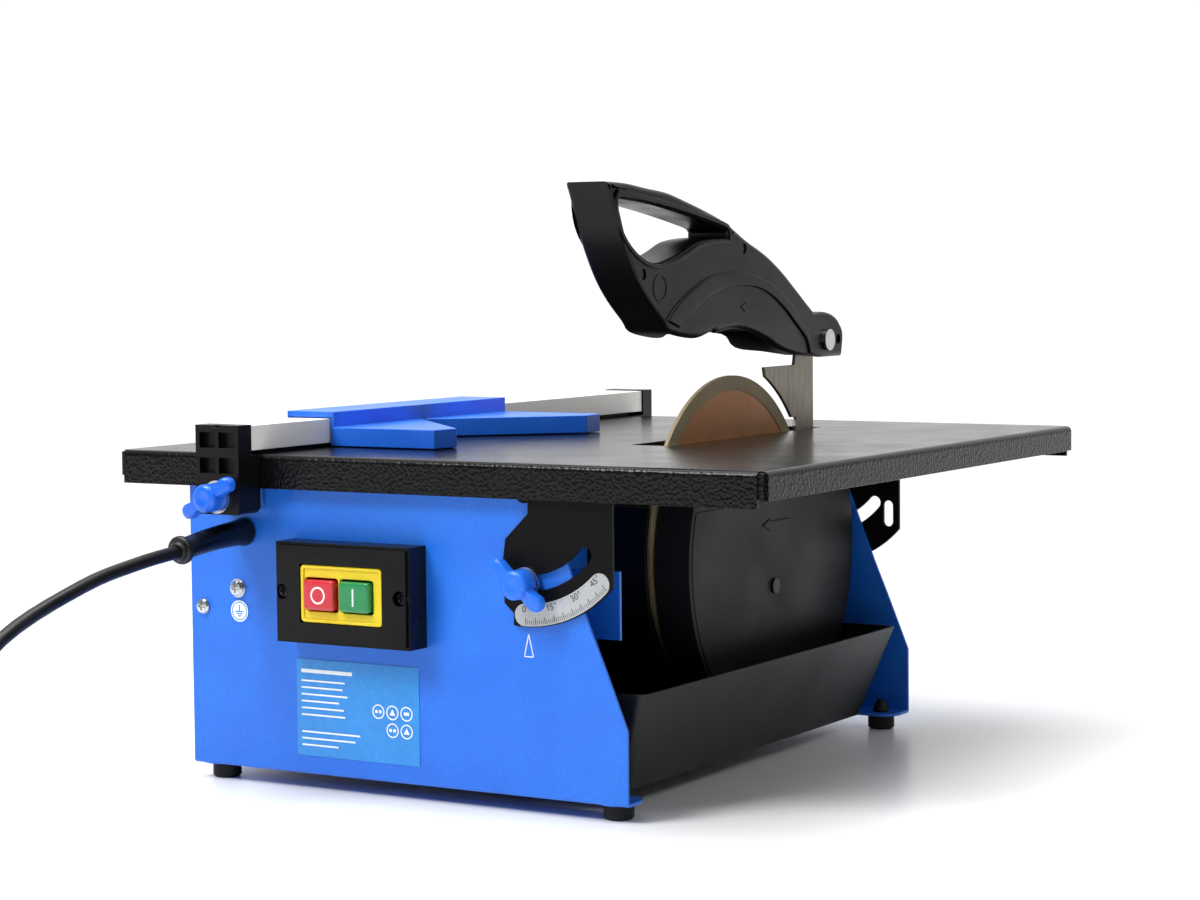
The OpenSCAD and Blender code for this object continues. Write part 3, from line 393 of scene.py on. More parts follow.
def ring_slab(bm: bmesh.types.BMesh, centre: Flat, outer: float, inner: float,
              front: float, back: float, sides: int = 48) -> None:
    """A flat ring in XZ with a thickness along Y, in metres."""
    rings = [[bm.verts.new((centre[0] + r * math.cos(a), y, centre[1] + r * math.sin(a)))
              for a in (2 * math.pi * i / sides for i in range(sides))]
             for r, y in ((outer, front), (outer, back), (inner, back), (inner, front))]
    for low, high in zip(rings, rings[1:] + rings[:1]):
        skin(bm, low, high)


def rect(x0: float, z0: float, x1: float, z1: float) -> List[Flat]:
    """Corners of an upright rectangle."""
    return [(x0, z0), (x1, z0), (x1, z1), (x0, z1)]


def disc(x: float, z: float, r: float, sides: int = 32) -> List[Flat]:
    """Corners of a round outline."""
    return [(x + r * math.cos(2 * math.pi * i / sides), z + r * math.sin(2 * math.pi * i / sides))
            for i in range(sides)]


def smooth_outline(pts: Sequence[Flat], parts: int, corners: Sequence[int]) -> List[Flat]:
    """Runs a smooth closed line through an outline.

    Args:
        pts: The outline's points.
        parts: Steps from each point to the next.
        corners: Points where the line may turn sharply.

    Returns:
        The finer outline.
    """
    count = len(pts)
    out: List[Flat] = []
    for i in range(count):
        b, c = Vector(pts[i]), Vector(pts[(i + 1) % count])
        a = b if i in corners else Vector(pts[i - 1])
        d = c if (i + 1) % count in corners else Vector(pts[(i + 2) % count])
        for j in range(parts):
            t = j / parts
            v = 0.5 * (2 * b + (c - a) * t + (2 * a - 5 * b + 4 * c - d) * t * t
                       + (3 * b - a - 3 * c + d) * t * t * t)
            out.append((v.x, v.y))
    return out


def offset(pts: Sequence[Flat], d: float) -> List[Flat]:
    """Moves every side of an anticlockwise outline inward by d."""
    out = []
    for i, at in enumerate(pts):
        p, a, b = Vector(at), Vector(pts[i - 1]), Vector(pts[(i + 1) % len(pts)])
        u, v = (p - a).normalized(), (b - p).normalized()
        n0, n1 = Vector((-u.y, u.x)), Vector((-v.y, v.x))
        both = n0 + n1
        out.append(tuple(p + both * (d / max(0.35, 0.5 * both.length_squared))))
    return out


def turn_left(pts: Sequence[Flat]) -> List[Flat]:
    """The same outline, anticlockwise."""
    area = sum(pts[i - 1][0] * pts[i][1] - pts[i][0] * pts[i - 1][1] for i in range(len(pts)))
    return list(pts) if area > 0 else list(reversed(pts))


def plate(bm: bmesh.types.BMesh, outline: Sequence[Flat], holes: Sequence[Sequence[Flat]], back: float,
          face: float, edge: float, place: Callable[[float, float, float], Point]) -> None:
    """A plate with a rounded face edge, and holes with rounded rims.

    Args:
        bm: Takes the faces.
        outline: The outer outline, in millimetres.
        holes: Outlines of holes through it.
        back: Depth of the flat back, in millimetres.
        face: Depth of the face.
        edge: Radius of the rounded edge.
        place: Turns two outline coordinates and a depth, in millimetres, into a point in metres.
    """
    way = 1.0 if face > back else -1.0
    steps = [(0.0, back)] + [(edge * (1 - math.cos(a)), face - way * edge * (1 - math.sin(a)))
                             for a in (math.radians(22.5 * k) for k in range(5))]
    loops = [(turn_left(outline), 1.0)] + [(turn_left(h), -1.0) for h in holes]
    caps: List[List[List[bmesh.types.BMVert]]] = [[], []]
    for pts, sign in loops:
        rings = [[bm.verts.new(place(u, v, depth)) for u, v in offset(pts, sign * inset)]
                 for inset, depth in steps]
        for low, high in zip(rings, rings[1:]):
            skin(bm, low, high)
        caps[0].append(rings[0])
        caps[1].append(rings[-1])
    for cap in caps:
        flat = [v for ring in cap for v in ring]
        for tri in tessellate_polygon([[v.co for v in ring] for ring in cap]):
            bm.faces.new([flat[k] for k in tri])


def round_rect(x0: float, z0: float, x1: float, z1: float, r: float) -> List[Flat]:
    """Corners of a rectangle with rounded corners."""
    middles = ((x1 - r, z1 - r, 0), (x0 + r, z1 - r, 90), (x0 + r, z0 + r, 180), (x1 - r, z0 + r, 270))
    return [(x + r * math.cos(math.radians(a + b)), z + r * math.sin(math.radians(a + b)))
            for x, z, a in middles for b in (0, 18, 36, 54, 72, 90)]


def facing_x(u: float, v: float, depth: float) -> Point:
    """Outline in YZ, depth along X."""
    return (depth * MM, u * MM, v * MM)


def facing_y(u: float, v: float, depth: float) -> Point:
    """Outline in XZ, depth along Y."""
    return (u * MM, depth * MM, v * MM)


def carve(name: str, bm: bmesh.types.BMesh, cutters: Sequence[bmesh.types.BMesh],
          finish: Finish) -> bpy.types.Object:
    """Cuts closed shapes out of a closed shape.

    Args:
        name: The piece's name.
        bm: The shape.
        cutters: The shapes to take away.
        finish: What the piece is made of.

    Returns:
        The piece, as a plain mesh.
    """
    solid = from_bmesh(name + "_blank", bm, finish)
    tools = [from_bmesh(f"{name}_cutter_{k}", cutter, finish) for k, cutter in enumerate(cutters)]
    for tool in tools:
        cut = solid.modifiers.new(tool.name, "BOOLEAN")
        cut.operation = "DIFFERENCE"
        cut.solver = "EXACT"
        cut.use_self = True
        cut.use_hole_tolerant = True
        cut.object = tool
    graph = bpy.context.evaluated_depsgraph_get()
    mesh = bpy.data.meshes.new_from_object(solid.evaluated_get(graph), depsgraph=graph)
    for obj in [solid, *tools]:
        bpy.data.objects.remove(obj)
    return mesh_object(name, mesh, finish)


def radial_marks(name: str, finish: Finish, count: int, step: float, radius: float, length: float,
                 width: float, centre: Vector) -> bpy.types.Object:
    """Draws marks round an arc in XZ with Geometry Nodes, and bakes them to a plain mesh.

    Args:
        name: The piece's name.
        finish: The marks' finish.
        count: How many marks.
        step: Angle between two marks, in radians, from straight down towards +X.
        radius: Distance of the marks' middles from the centre, in metres.
        length: Length of a mark, outward, in metres.
        width: Width of a mark, in metres.
        centre: The arc's centre, at the marks' depth.

    Returns:
        One plain mesh with every mark.
    """
    tree = bpy.data.node_groups.new(name + "_tree", "GeometryNodeTree")
    sizes = {"Count": count, "Step": step, "Radius": radius, "Length": length, "Width": width}
    ids = {}
    for label, value in sizes.items():
        kind = "NodeSocketInt" if label == "Count" else "NodeSocketFloat"
        ids[label] = tree.interface.new_socket(label, in_out="INPUT", socket_type=kind).identifier
    tree.interface.new_socket("Geometry", in_out="OUTPUT", socket_type="NodeSocketGeometry")
    given = add(tree, "NodeGroupInput").outputs
    line = add(tree, "GeometryNodeMeshLine", {"Count": given["Count"], "Offset": (0.0, 0.0, 0.0)}).outputs[0]
    size = add(tree, "ShaderNodeCombineXYZ", {0: given["Width"], 1: 0.00006, 2: given["Length"]}).outputs[0]
    mark = add(tree, "GeometryNodeMeshCube", {"Size": size}).outputs[0]
    drop = add(tree, "ShaderNodeMath", {0: given["Radius"], 1: -1.0}, operation="MULTIPLY").outputs[0]
    down = add(tree, "ShaderNodeCombineXYZ", {2: drop}).outputs[0]
    mark = add(tree, "GeometryNodeTransform", {"Geometry": mark, "Translation": down}).outputs[0]
    turn = add(tree, "ShaderNodeMath", {0: add(tree, "GeometryNodeInputIndex").outputs[0],
                                        1: given["Step"]}, operation="MULTIPLY").outputs[0]
    back = add(tree, "ShaderNodeMath", {0: turn, 1: -1.0}, operation="MULTIPLY").outputs[0]
    spin = add(tree, "ShaderNodeCombineXYZ", {1: back}).outputs[0]
    copies = add(tree, "GeometryNodeInstanceOnPoints", {
        "Points": line, "Instance": mark, "Rotation": spin}).outputs[0]
    solid = add(tree, "GeometryNodeRealizeInstances", {"Geometry": copies}).outputs[0]
    inked = add(tree, "GeometryNodeSetMaterial", {"Geometry": solid, "Material": finish.build()}).outputs[0]
    add(tree, "NodeGroupOutput", {"Geometry": inked})
    holder = bpy.data.objects.new(name + "_maker", bpy.data.meshes.new(name + "_maker"))
    bpy.context.collection.objects.link(holder)
    modifier = holder.modifiers.new("marks", "NODES")
    modifier.node_group = tree
    for label, value in sizes.items():
        modifier[ids[label]] = value
    graph = bpy.context.evaluated_depsgraph_get()
    mesh = bpy.data.meshes.new_from_object(holder.evaluated_get(graph), depsgraph=graph)
    bpy.data.objects.remove(holder)
    mesh.transform(Matrix.Translation(centre))
    return mesh_object(name, mesh, finish)


# ---- camera, light and floor ----------------------------------------------------
@dataclass
class Studio:
    """A pale floor, soft light from all round, and the camera."""

    eye: Point = (0.77965, -1.31689, 0.26847)
    turn: float = 30.968
    dip: float = 3.872
    roll: float = -0.523
    lens: float = 83.29
    room: float = 0.16

    def camera(self) -> None:
        """Places the camera by its turn, dip and roll."""
        a, p, r = (math.radians(v) for v in (self.turn, self.dip, self.roll))
        ahead = Vector((-math.sin(a) * math.cos(p), math.cos(a) * math.cos(p), -math.sin(p)))
        right = Vector((math.cos(a), math.sin(a), 0.0))
        up = right.cross(ahead)
        across = right * math.cos(r) + up * math.sin(r)
        upward = up * math.cos(r) - right * math.sin(r)
        data = bpy.data.cameras.new("camera")
        data.lens = self.lens
        data.sensor_width = 36.0
        data.clip_start = 0.01
        data.clip_end = 200.0
        obj = bpy.data.objects.new("camera", data)
        bpy.context.collection.objects.link(obj)
        axes = Matrix((across, upward, -ahead)).transposed().to_4x4()
        obj.matrix_world = Matrix.Translation(self.eye) @ axes
        bpy.context.scene.camera = obj

    def light(self) -> None:
        """Sets a white backdrop, a darker room in front, and three soft boxes."""
        world = bpy.data.worlds.new("white_studio")
        world.use_nodes = True
        tree = world.node_tree
        tree.nodes.clear()
        toward = add(tree, "ShaderNodeTexCoord").outputs["Generated"]
        a = math.radians(self.turn)
        behind = add(tree, "ShaderNodeVectorMath", {
            0: toward, 1: (-math.sin(a), math.cos(a), 0.35)}, operation="DOT_PRODUCT").outputs["Value"]
        room = add(tree, "ShaderNodeMapRange", {
            "Value": behind, "From Min": 0.3, "From Max": 0.9,
            "To Min": self.room, "To Max": 1.0}).outputs[0]
        seen = add(tree, "ShaderNodeLightPath").outputs["Is Camera Ray"]
        level = add(tree, "ShaderNodeMix", {"Factor": seen, 2: room, 3: 1.1}).outputs[0]
        back = add(tree, "ShaderNodeBackground", {"Color": (1.0, 1.0, 1.0, 1.0), "Strength": level})
        add(tree, "ShaderNodeOutputWorld", {"Surface": back.outputs[0]})
        bpy.context.scene.world = world
        boxes = (("top_box", (-0.1, -0.1, 2.2), (0.0, 0.0, 0.1), 1.8, 50.0),
                 ("left_box", (-0.9, -1.7, 2.2), (0.0, -0.1, 0.1), 1.0, 66.0),
                 ("right_box", (2.0, -0.2, 1.9), (0.1, 0.0, 0.2), 0.8, 9.0))
        for name, place, target, size, power in boxes:
            data = bpy.data.lights.new(name, "AREA")
            data.shape = "SQUARE"
            data.size = size
            data.energy = power
            obj = bpy.data.objects.new(name, data)
            bpy.context.collection.objects.link(obj)
            toward_it = Vector(target) - Vector(place)
            obj.rotation_euler = toward_it.to_track_quat("-Z", "Y").to_euler()
            obj.location = place
        bpy.context.scene.view_settings.view_transform = "Standard"

    def floor(self) -> None:
        """Lays the pale floor, which glows into the white backdrop far from the machine."""
        bm = bmesh.new()
        half = 30.0
        bm.faces.new([bm.verts.new((x, y, -0.0002)) for x, y in
                      ((-half, -half), (half, -half), (half, half), (-half, half))])
        floor = from_bmesh("floor", bm, PALE_FLOOR)
        tree = floor.data.materials[0].node_tree
        out = next(n for n in tree.nodes if n.bl_idname == "ShaderNodeOutputMaterial")
        near = out.inputs["Surface"].links[0].from_socket
        place = add(tree, "ShaderNodeTexCoord").outputs["Object"]
        far = add(tree, "ShaderNodeVectorMath", {0: place}, operation="LENGTH").outputs["Value"]
        part = add(tree, "ShaderNodeMapRange", {"Value": far, "From Min": 0.7, "From Max": 2.4},
                   interpolation_type="SMOOTHSTEP").outputs[0]
        glow = add(tree, "ShaderNodeEmission", {"Color": (1.0, 1.0, 1.0, 1.0), "Strength": 1.1}).outputs[0]
        both = add(tree, "ShaderNodeMixShader", {0: part, 1: near, 2: glow}).outputs[0]
        tree.links.new(both, out.inputs["Surface"])

    def build(self) -> None:
        """Builds the whole studio."""
        self.camera()
        self.light()
        self.floor()


# ---- mains lead -----------------------------------------------------------------
@dataclass
class MainsLead:
    """The lead, its strain relief, its coil and its plug, in millimetres."""

    gland: Point = (-113.0, -186.5, 131.3)
    droop: float = 5.8
    relief: float = 56.0
    diameter: float = 7.0
    coil_x: float = -172.0
    coil_y: float = -520.0
    coil_r: float = 41.0
    layers: int = 3
    sides_per_turn: int = 28

    def __post_init__(self) -> None:
        """Works out the relief's tip and the route."""
        a = math.radians(self.droop)
        x, y, z = self.gland
        self.tip = (x, y - self.relief * math.cos(a), z - self.relief * math.sin(a))

    def lead_in(self) -> List[Point]:
        """Points from the relief's tip down to the coil."""
        x = self.gland[0]
        _, y, z = self.tip
        return [(x, y, z), (x, y - 30, z - 3), (x, y - 70, z - 10), (x, y - 126, 97), (x, y - 165, 66),
                (x - 1, y - 195, 32), (x - 4, y - 222, 12), (-123, -495, 5),
                (self.coil_x + self.coil_r + 4, self.coil_y, 4)]

    def turns(self) -> List[Point]:
        """Points of the coil: out and in on each layer, clockwise from above."""
        half = self.diameter / 2
        outer, inner = self.coil_r + half, self.coil_r - half
        order = [(outer, 0), (inner, 0), (inner, 1), (outer, 1), (inner, 2), (outer, 2)]
        pts: List[Point] = []
        for k, (radius, layer) in enumerate(order):
            nxt = order[min(k + 1, len(order) - 1)]
            last = k == len(order) - 1
            count = self.sides_per_turn + (self.sides_per_turn // 4 if last else 0)
            for i in range(1, count + 1):
                part = i / self.sides_per_turn
                ease = 0.0 if last else max(0.0, (part - 0.72) / 0.28)
                ease = ease * ease * (3 - 2 * ease)
                r = radius + (nxt[0] - radius) * ease
                z = half + 0.1 + self.diameter * (layer + (nxt[1] - layer) * ease)
                angle = -2 * math.pi * part
                pts.append((self.coil_x + r * math.cos(angle), self.coil_y + r * math.sin(angle), z))
        return pts

    def lead_out(self) -> List[Point]:
        """Points from the top of the coil to the plug."""
        y = self.coil_y - self.coil_r - self.diameter / 2
        return [(self.coil_x - 14, y, 16.9), (self.coil_x - 34, y, 12.4), (self.coil_x - 54, y, 10.4),
                (self.coil_x - 72, y, 15), (self.coil_x - 88, y, 19)]

    @staticmethod
    def smooth(pts: Sequence[Point], parts: int) -> List[Point]:
        """Runs a smooth curve through a list of points.

        Args:
            pts: The points, in millimetres.
            parts: Steps from each point to the next.

        Returns:
            The finer list, with both ends.
        """
        out: List[Point] = []
        last = len(pts) - 1
        for i in range(last):
            a, b, c, d = (Vector(pts[max(0, min(last, i + k))]) for k in (-1, 0, 1, 2))
            for j in range(parts):
                t = j / parts
                v = 0.5 * (2 * b + (c - a) * t + (2 * a - 5 * b + 4 * c - d) * t * t
                           + (3 * b - a - 3 * c + d) * t * t * t)
                out.append(tuple(v))
        out.append(tuple(pts[last]))
        return out

    def route(self) -> List[Point]:
        """The whole centreline, in metres."""
        pts = self.smooth(self.lead_in(), 5) + self.turns() + self.smooth(self.lead_out(), 4)
        return [tuple(c * MM for c in p) for p in pts]

    def sheath(self) -> bpy.types.Object:
        """Makes the lead as one open curve with a round section."""
        pts = self.route()
        curve = bpy.data.curves.new("mains_lead", "CURVE")
        curve.dimensions = "3D"
        spline = curve.splines.new("POLY")
        spline.points.add(len(pts) - 1)
        for point, at in zip(spline.points, pts):
            point.co = (*at, 1.0)
        spline.use_smooth = True
        curve.bevel_depth = self.diameter / 2 * MM
        curve.bevel_resolution = 4
        curve.use_fill_caps = True
        curve.materials.append(LEAD_PVC.build())
        obj = bpy.data.objects.new("mains_lead", curve)
        bpy.context.collection.objects.link(obj)
        return obj

    def sleeve(self) -> bpy.types.Object:
        """The strain relief: a flange, a drooping tapered sleeve and a collar."""
        start, end = Vector(self.gland), Vector(self.tip)
        mid = Vector((start.x, start.y - 29, start.z - 0.6))
        profile = [(-0.01, 5.4), (0.006, 5.4), (0.01, 7.2), (0.03, 7.4), (0.05, 7.2), (0.08, 6.6),
                   (0.2, 6.4), (0.35, 6.2), (0.5, 6.0), (0.65, 5.8), (0.8, 5.6), (0.88, 5.5),
                   (0.89, 6.9), (0.91, 7.3), (0.94, 7.3), (0.955, 6.9), (0.96, 5.2), (0.985, 4.9),
                   (1.0, 4.4)]
        bm = bmesh.new()
        rings = []
        for t, r in profile:
            at = start * (1 - t) ** 2 + mid * (2 * t * (1 - t)) + end * t * t
            ahead = ((mid - start) * (1 - t) + (end - mid) * t).normalized()
            side = Vector((1.0, 0.0, 0.0))
            other = side.cross(ahead)
            rings.append([bm.verts.new((at + (side * math.cos(a) + other * math.sin(a)) * r) * MM)
                          for a in (2 * math.pi * i / 40 for i in range(40))])
        for low, high in zip(rings, rings[1:]):
            skin(bm, low, high)
        bm.faces.new(rings[0])
        bm.faces.new(rings[-1])
        return from_bmesh("strain_relief_sleeve", bm, LEAD_PVC)

    def plug(self) -> bpy.types.Object:
        """The plug's moulded body, with grip ribs and a flat front."""
        y = self.coil_y - self.coil_r - self.diameter / 2
        start = Vector((self.coil_x - 88, y, 19)) * MM
        profile: List[Flat] = [(0, 4.6)]
        for k in range(4):
            profile += [(0.8 + 3 * k, 5.9), (2.2 + 3 * k, 5.9), (2.8 + 3 * k, 5.0)]
        profile += [(13.0, 8.0), (14.5, 12.4), (17, 13.6), (26, 13.9), (33, 13.4), (36.5, 14.0),
                    (38.4, 17.6), (39.4, 18.6), (46.8, 18.75), (48, 18.2)]
        bm = bmesh.new()
        lathe(bm, [(t * MM, r * MM) for t, r in profile], start, Vector((-1.0, 0.0, 0.0)), 56)
        return from_bmesh("plug_body", bm, RUBBER)

    def tie(self) -> bpy.types.Object:
        """A flat strap round the coil's turns."""
        bm = bmesh.new()
        r0, r1 = self.coil_r - self.diameter - 0.5, self.coil_r + self.diameter + 0.5
        top = self.layers * self.diameter + 0.8
        inner = [(r0, 0.1), (r1, 0.1), (r1, top), (r0, top)]
        loops = []
        for along in (-3.0, 3.0):
            for grow in (0.0, 0.35):
                loops.append([bm.verts.new(self.on_coil(x + (grow if x > self.coil_r else -grow),
                                                        along, z + (grow if z > 5 else 0)))
                              for x, z in inner])
        for low, high in ((0, 1), (1, 3), (3, 2), (2, 0)):
            for i in range(4):
                bm.faces.new((loops[low][i], loops[low][(i + 1) % 4],
                              loops[high][(i + 1) % 4], loops[high][i]))
        return from_bmesh("coil_tie", bm, RUBBER, 20)

    def on_coil(self, radius: float, along: float, z: float) -> Point:
        """A point beside the coil's left side, in metres."""
        return ((self.coil_x - radius) * MM, (self.coil_y + along) * MM, z * MM)

    def build(self) -> None:
        sheath = self.sheath()
        plug = self.plug()
        tie = self.tie()
        sleeve = self.sleeve()
        for piece in (sheath, plug, tie, sleeve):
            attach(piece, "base")
        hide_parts("cord_lead", "cord_coil")
        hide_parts("cord_plug")
        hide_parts("strain_relief")
        dress("plug_pins", NICKEL)


# ---- wing knobs -------------------------------------------------------------------
@dataclass
class WingKnob:
    """A moulded knob with two thick rounded wings, in millimetres."""

    node: str
    centre: Point
    outward: float
    tilt: float
    hub: float = 7.3
    depth: float = 11.4
    lobe: float = 4.0
    reach: float = 14.0

    def outline(self, scale: float, count: int = 96) -> List[Flat]:
        """The wings' outline: two round lobes joined to the hub by soft waists."""
        pts = []
        for i in range(count):
            a = 2 * math.pi * i / count
            c, s = abs(math.cos(a)), abs(math.sin(a))
            inside = self.lobe ** 2 - (self.reach * s) ** 2
            lobe = self.reach * c + math.sqrt(inside) if inside > 0 else 0.0
            waist = 3.1 / max(s, 0.12)
            body = max(self.hub * 0.86, min(waist, self.reach))
            r = max(lobe, body if s < 0.5 else self.hub * 0.86)
            pts.append((r * scale * math.cos(a), r * scale * math.sin(a)))
        return pts

    def build(self) -> bpy.types.Object:
        """Makes the knob in place of its frame node."""
        bm = bmesh.new()
        out = Vector((0.0, self.outward, 0.0))
        rings = []
        for along, grow in ((2.6, 0.86), (3.0, 0.94), (4.0, 0.985), (6.0, 1.0), (7.8, 0.985),
                            (8.8, 0.94), (9.3, 0.86)):
            rings.append([bm.verts.new((x * MM, self.outward * along * MM, z * MM))
                          for x, z in self.outline(grow)])
        for low, high in zip(rings, rings[1:]):
            skin(bm, low, high)
        bm.faces.new(rings[0])
        bm.faces.new(rings[-1])
        profile = [(0.1, self.hub * 0.93), (0.7, self.hub), (9.6, self.hub * 0.98), (10.6, self.hub * 0.92),
                   (self.depth - 0.3, self.hub * 0.72), (self.depth, self.hub * 0.5),
                   (self.depth - 0.4, self.hub * 0.38)]
        lathe(bm, [(t * MM, r * MM) for t, r in profile], Vector((0, 0, 0)), out)
        turned = Matrix.Rotation(math.radians(self.tilt), 4, "Y")
        place = Matrix.Translation(Vector(self.centre) * MM) @ turned
        bmesh.ops.transform(bm, matrix=place, verts=bm.verts)
        knob = from_bmesh(self.node + "_moulding", bm, BLUE_PP, 50)
        return stand_in(knob, self.node)


# ---- sheet metal --------------------------------------------------------------------
@dataclass
class Casing:
    """Table, base panels, brackets and their small printed and plated parts."""

    tilt_pivot: Point = (60.0, 0.0, 158.0)
    film: Tuple[float, float, float, float] = (-81.0, 17.7, -5.0, 67.5)
    broken_edge: Dict[str, float] = field(default_factory=lambda: {
        "front_panel": 0.25, "rear_panel": 0.25, "side_panel": 0.25, "motor_bracket": 0.3})

    def panels(self) -> None:
        """Coats the sheets."""
        for node, width in self.broken_edge.items():
            soften(node, BLUE_COAT, width)
        soften("table_top", TABLE_COAT, 0.4)
        for node in ("tilt_bracket_front", "tilt_bracket_rear"):
            soften(node, BLACK_PAINT, 0.3)
        dress("rubber_feet", RUBBER)
        dress_all(ZINC, "casing_screws", "earth_screw", "tilt_bolts", "tilt_washers")
        dress("pivot_rivets", BLACK_PAINT)

    def scale(self) -> None:
        """Draws degree marks and numbers on the angle strip."""
        dress("angle_scale", ETCHED)
        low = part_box("angle_scale")[0]
        px, _, pz = self.tilt_pivot
        depth = low.y - 0.00005
        centre = Vector((px * MM, depth, pz * MM))
        radius = 65.4 * MM
        for name, count, step, length, width in (
                ("scale_degrees", 46, 1.0, 2.0, 0.22), ("scale_fives", 10, 5.0, 3.4, 0.34)):
            marks = radial_marks(name, INK_BLACK, count, math.radians(step),
                                 radius - (0.8 + length / 2) * MM, length * MM, width * MM, centre)
            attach(marks, "table")
        for value in (0, 15, 30, 45):
            self.number(value, centre, radius - 8.2 * MM)

    def number(self, value: int, centre: Vector, radius: float) -> None:
        """Writes one number of degrees below its mark."""
        curve = bpy.data.curves.new(f"degrees_{value}", "FONT")
        curve.body = f"{value}\u00b0"
        curve.size = 4.6 * MM
        curve.align_x = "CENTER"
        curve.align_y = "CENTER"
        holder = bpy.data.objects.new(curve.name, curve)
        bpy.context.collection.objects.link(holder)
        graph = bpy.context.evaluated_depsgraph_get()
        mesh = bpy.data.meshes.new_from_object(holder.evaluated_get(graph), depsgraph=graph)
        bpy.data.objects.remove(holder)
        angle = math.radians(value - (1.5 if value == 45 else 0))
        upright = Matrix.Rotation(math.radians(90), 4, "X")
        place = (Matrix.Translation(centre) @ Matrix.Rotation(-angle, 4, "Y")
                 @ Matrix.Translation((0.0, 0.0, -radius)) @ upright)
        mesh.transform(place)
        piece = mesh_object(f"degree_number_{value}", mesh, INK_BLACK)
        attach(piece, "table")

    def prints(self) -> None:
        """Prints the film, the earth sign and the pointer."""
        dress("labels", FILM)
        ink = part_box("labels")[0].y
        front, back = ink - INK_PROUD, ink + INK_SUNK
        bm = bmesh.new()
        x0, z0, x1, z1 = (v * MM for v in self.film)
        rows = [(z1 - 7 * MM, 0.42), (z1 - 11.5 * MM, 0.36), (z1 - 15 * MM, 0.34), (z1 - 18.5 * MM, 0.38),
                (z1 - 22 * MM, 0.31), (z1 - 25.5 * MM, 0.35), (z1 - 29 * MM, 0.36), (z0 + 12 * MM, 0.48),
                (z0 + 8.6 * MM, 0.44), (z0 + 5.2 * MM, 0.3)]
        for k, (z, part) in enumerate(rows):
            tall = (1.9 if k == 0 else 0.85) * MM
            slab(bm, rect(x0 + 3 * MM, z, x0 + 3 * MM + part * (x1 - x0), z + tall), front, back)
        for col in range(3):
            for row in range(2):
                if (col, row) == (0, 0):
                    continue
                cx, cz = x1 - (25 - 8.6 * col) * MM, z0 + (17 + 9 * row) * MM
                ring_slab(bm, (cx, cz), 3.7 * MM, 3.1 * MM, front, back)
                self.sign(bm, cx, cz, col + row, front, back)
        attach(from_bmesh("film_print", bm, INK_WHITE), "base")
        low_s, high_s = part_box("earth_screw")
        ex, ez = (low_s.x + high_s.x) / 2 + 0.7 * MM, 89.7 * MM
        bm = bmesh.new()
        slab(bm, disc(ex, ez, 5.6 * MM, 48), front, back)
        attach(from_bmesh("earth_disc", bm, INK_WHITE), "base")
        bm = bmesh.new()
        front -= INK_PROUD
        ring_slab(bm, (ex, ez), 4.9 * MM, 4.4 * MM, front, back)
        slab(bm, rect(ex - 0.3 * MM, ez - 0.2 * MM, ex + 0.3 * MM, ez + 3.2 * MM), front, back)
        for k, half in enumerate((2.6, 1.8, 0.9)):
            z = ez - (0.3 + 1.1 * k) * MM
            slab(bm, rect(ex - half * MM, z - 0.3 * MM, ex + half * MM, z + 0.3 * MM), front, back)
        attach(from_bmesh("earth_sign", bm, FILM), "base")
        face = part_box("front_panel")[0].y
        bm = bmesh.new()
        px = self.tilt_pivot[0]
        for a, b in (((-2.6, 77.4), (2.6, 77.4)), ((-2.6, 77.4), (0, 88.4)), ((2.6, 77.4), (0, 88.4))):
            self.stroke(bm, (px + a[0], a[1]), (px + b[0], b[1]), 0.45, face - INK_PROUD, face + INK_SUNK)
        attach(from_bmesh("tilt_pointer", bm, INK_WHITE), "base")

    @staticmethod
    def stroke(bm: bmesh.types.BMesh, a: Flat, b: Flat, width: float,
               front: float, back: float) -> None:
        """A straight printed line between two points in millimetres."""
        along = Vector((b[0] - a[0], b[1] - a[1])).normalized() * width / 2
        side = Vector((-along.y, along.x))
        p, q = Vector(a) - along, Vector(b) + along
        slab(bm, [tuple(v * MM) for v in (p + side, p - side, q - side, q + side)], front, back)

    def sign(self, bm: bmesh.types.BMesh, x: float, z: float, kind: int, front: float, back: float) -> None:
        """A plain figure in one of the film's round signs."""
        if kind == 0:
            slab(bm, disc(x, z, 1.2 * MM, 16), front, back)
        elif kind == 1:
            for s in (-1, 1):
                slab(bm, disc(x + s * 1.2 * MM, z, 0.9 * MM, 16), front, back)
        elif kind == 2:
            corners = [(x - 1.8 * MM, z - 1.3 * MM), (x + 1.8 * MM, z - 1.3 * MM), (x, z + 1.8 * MM)]
            slab(bm, corners, front, back)
        else:
            slab(bm, rect(x - 1.6 * MM, z - 0.8 * MM, x + 1.6 * MM, z + 0.8 * MM), front, back)

    def build(self) -> None:
        """Builds the casing's looks."""
        self.panels()
        self.scale()
        self.prints()


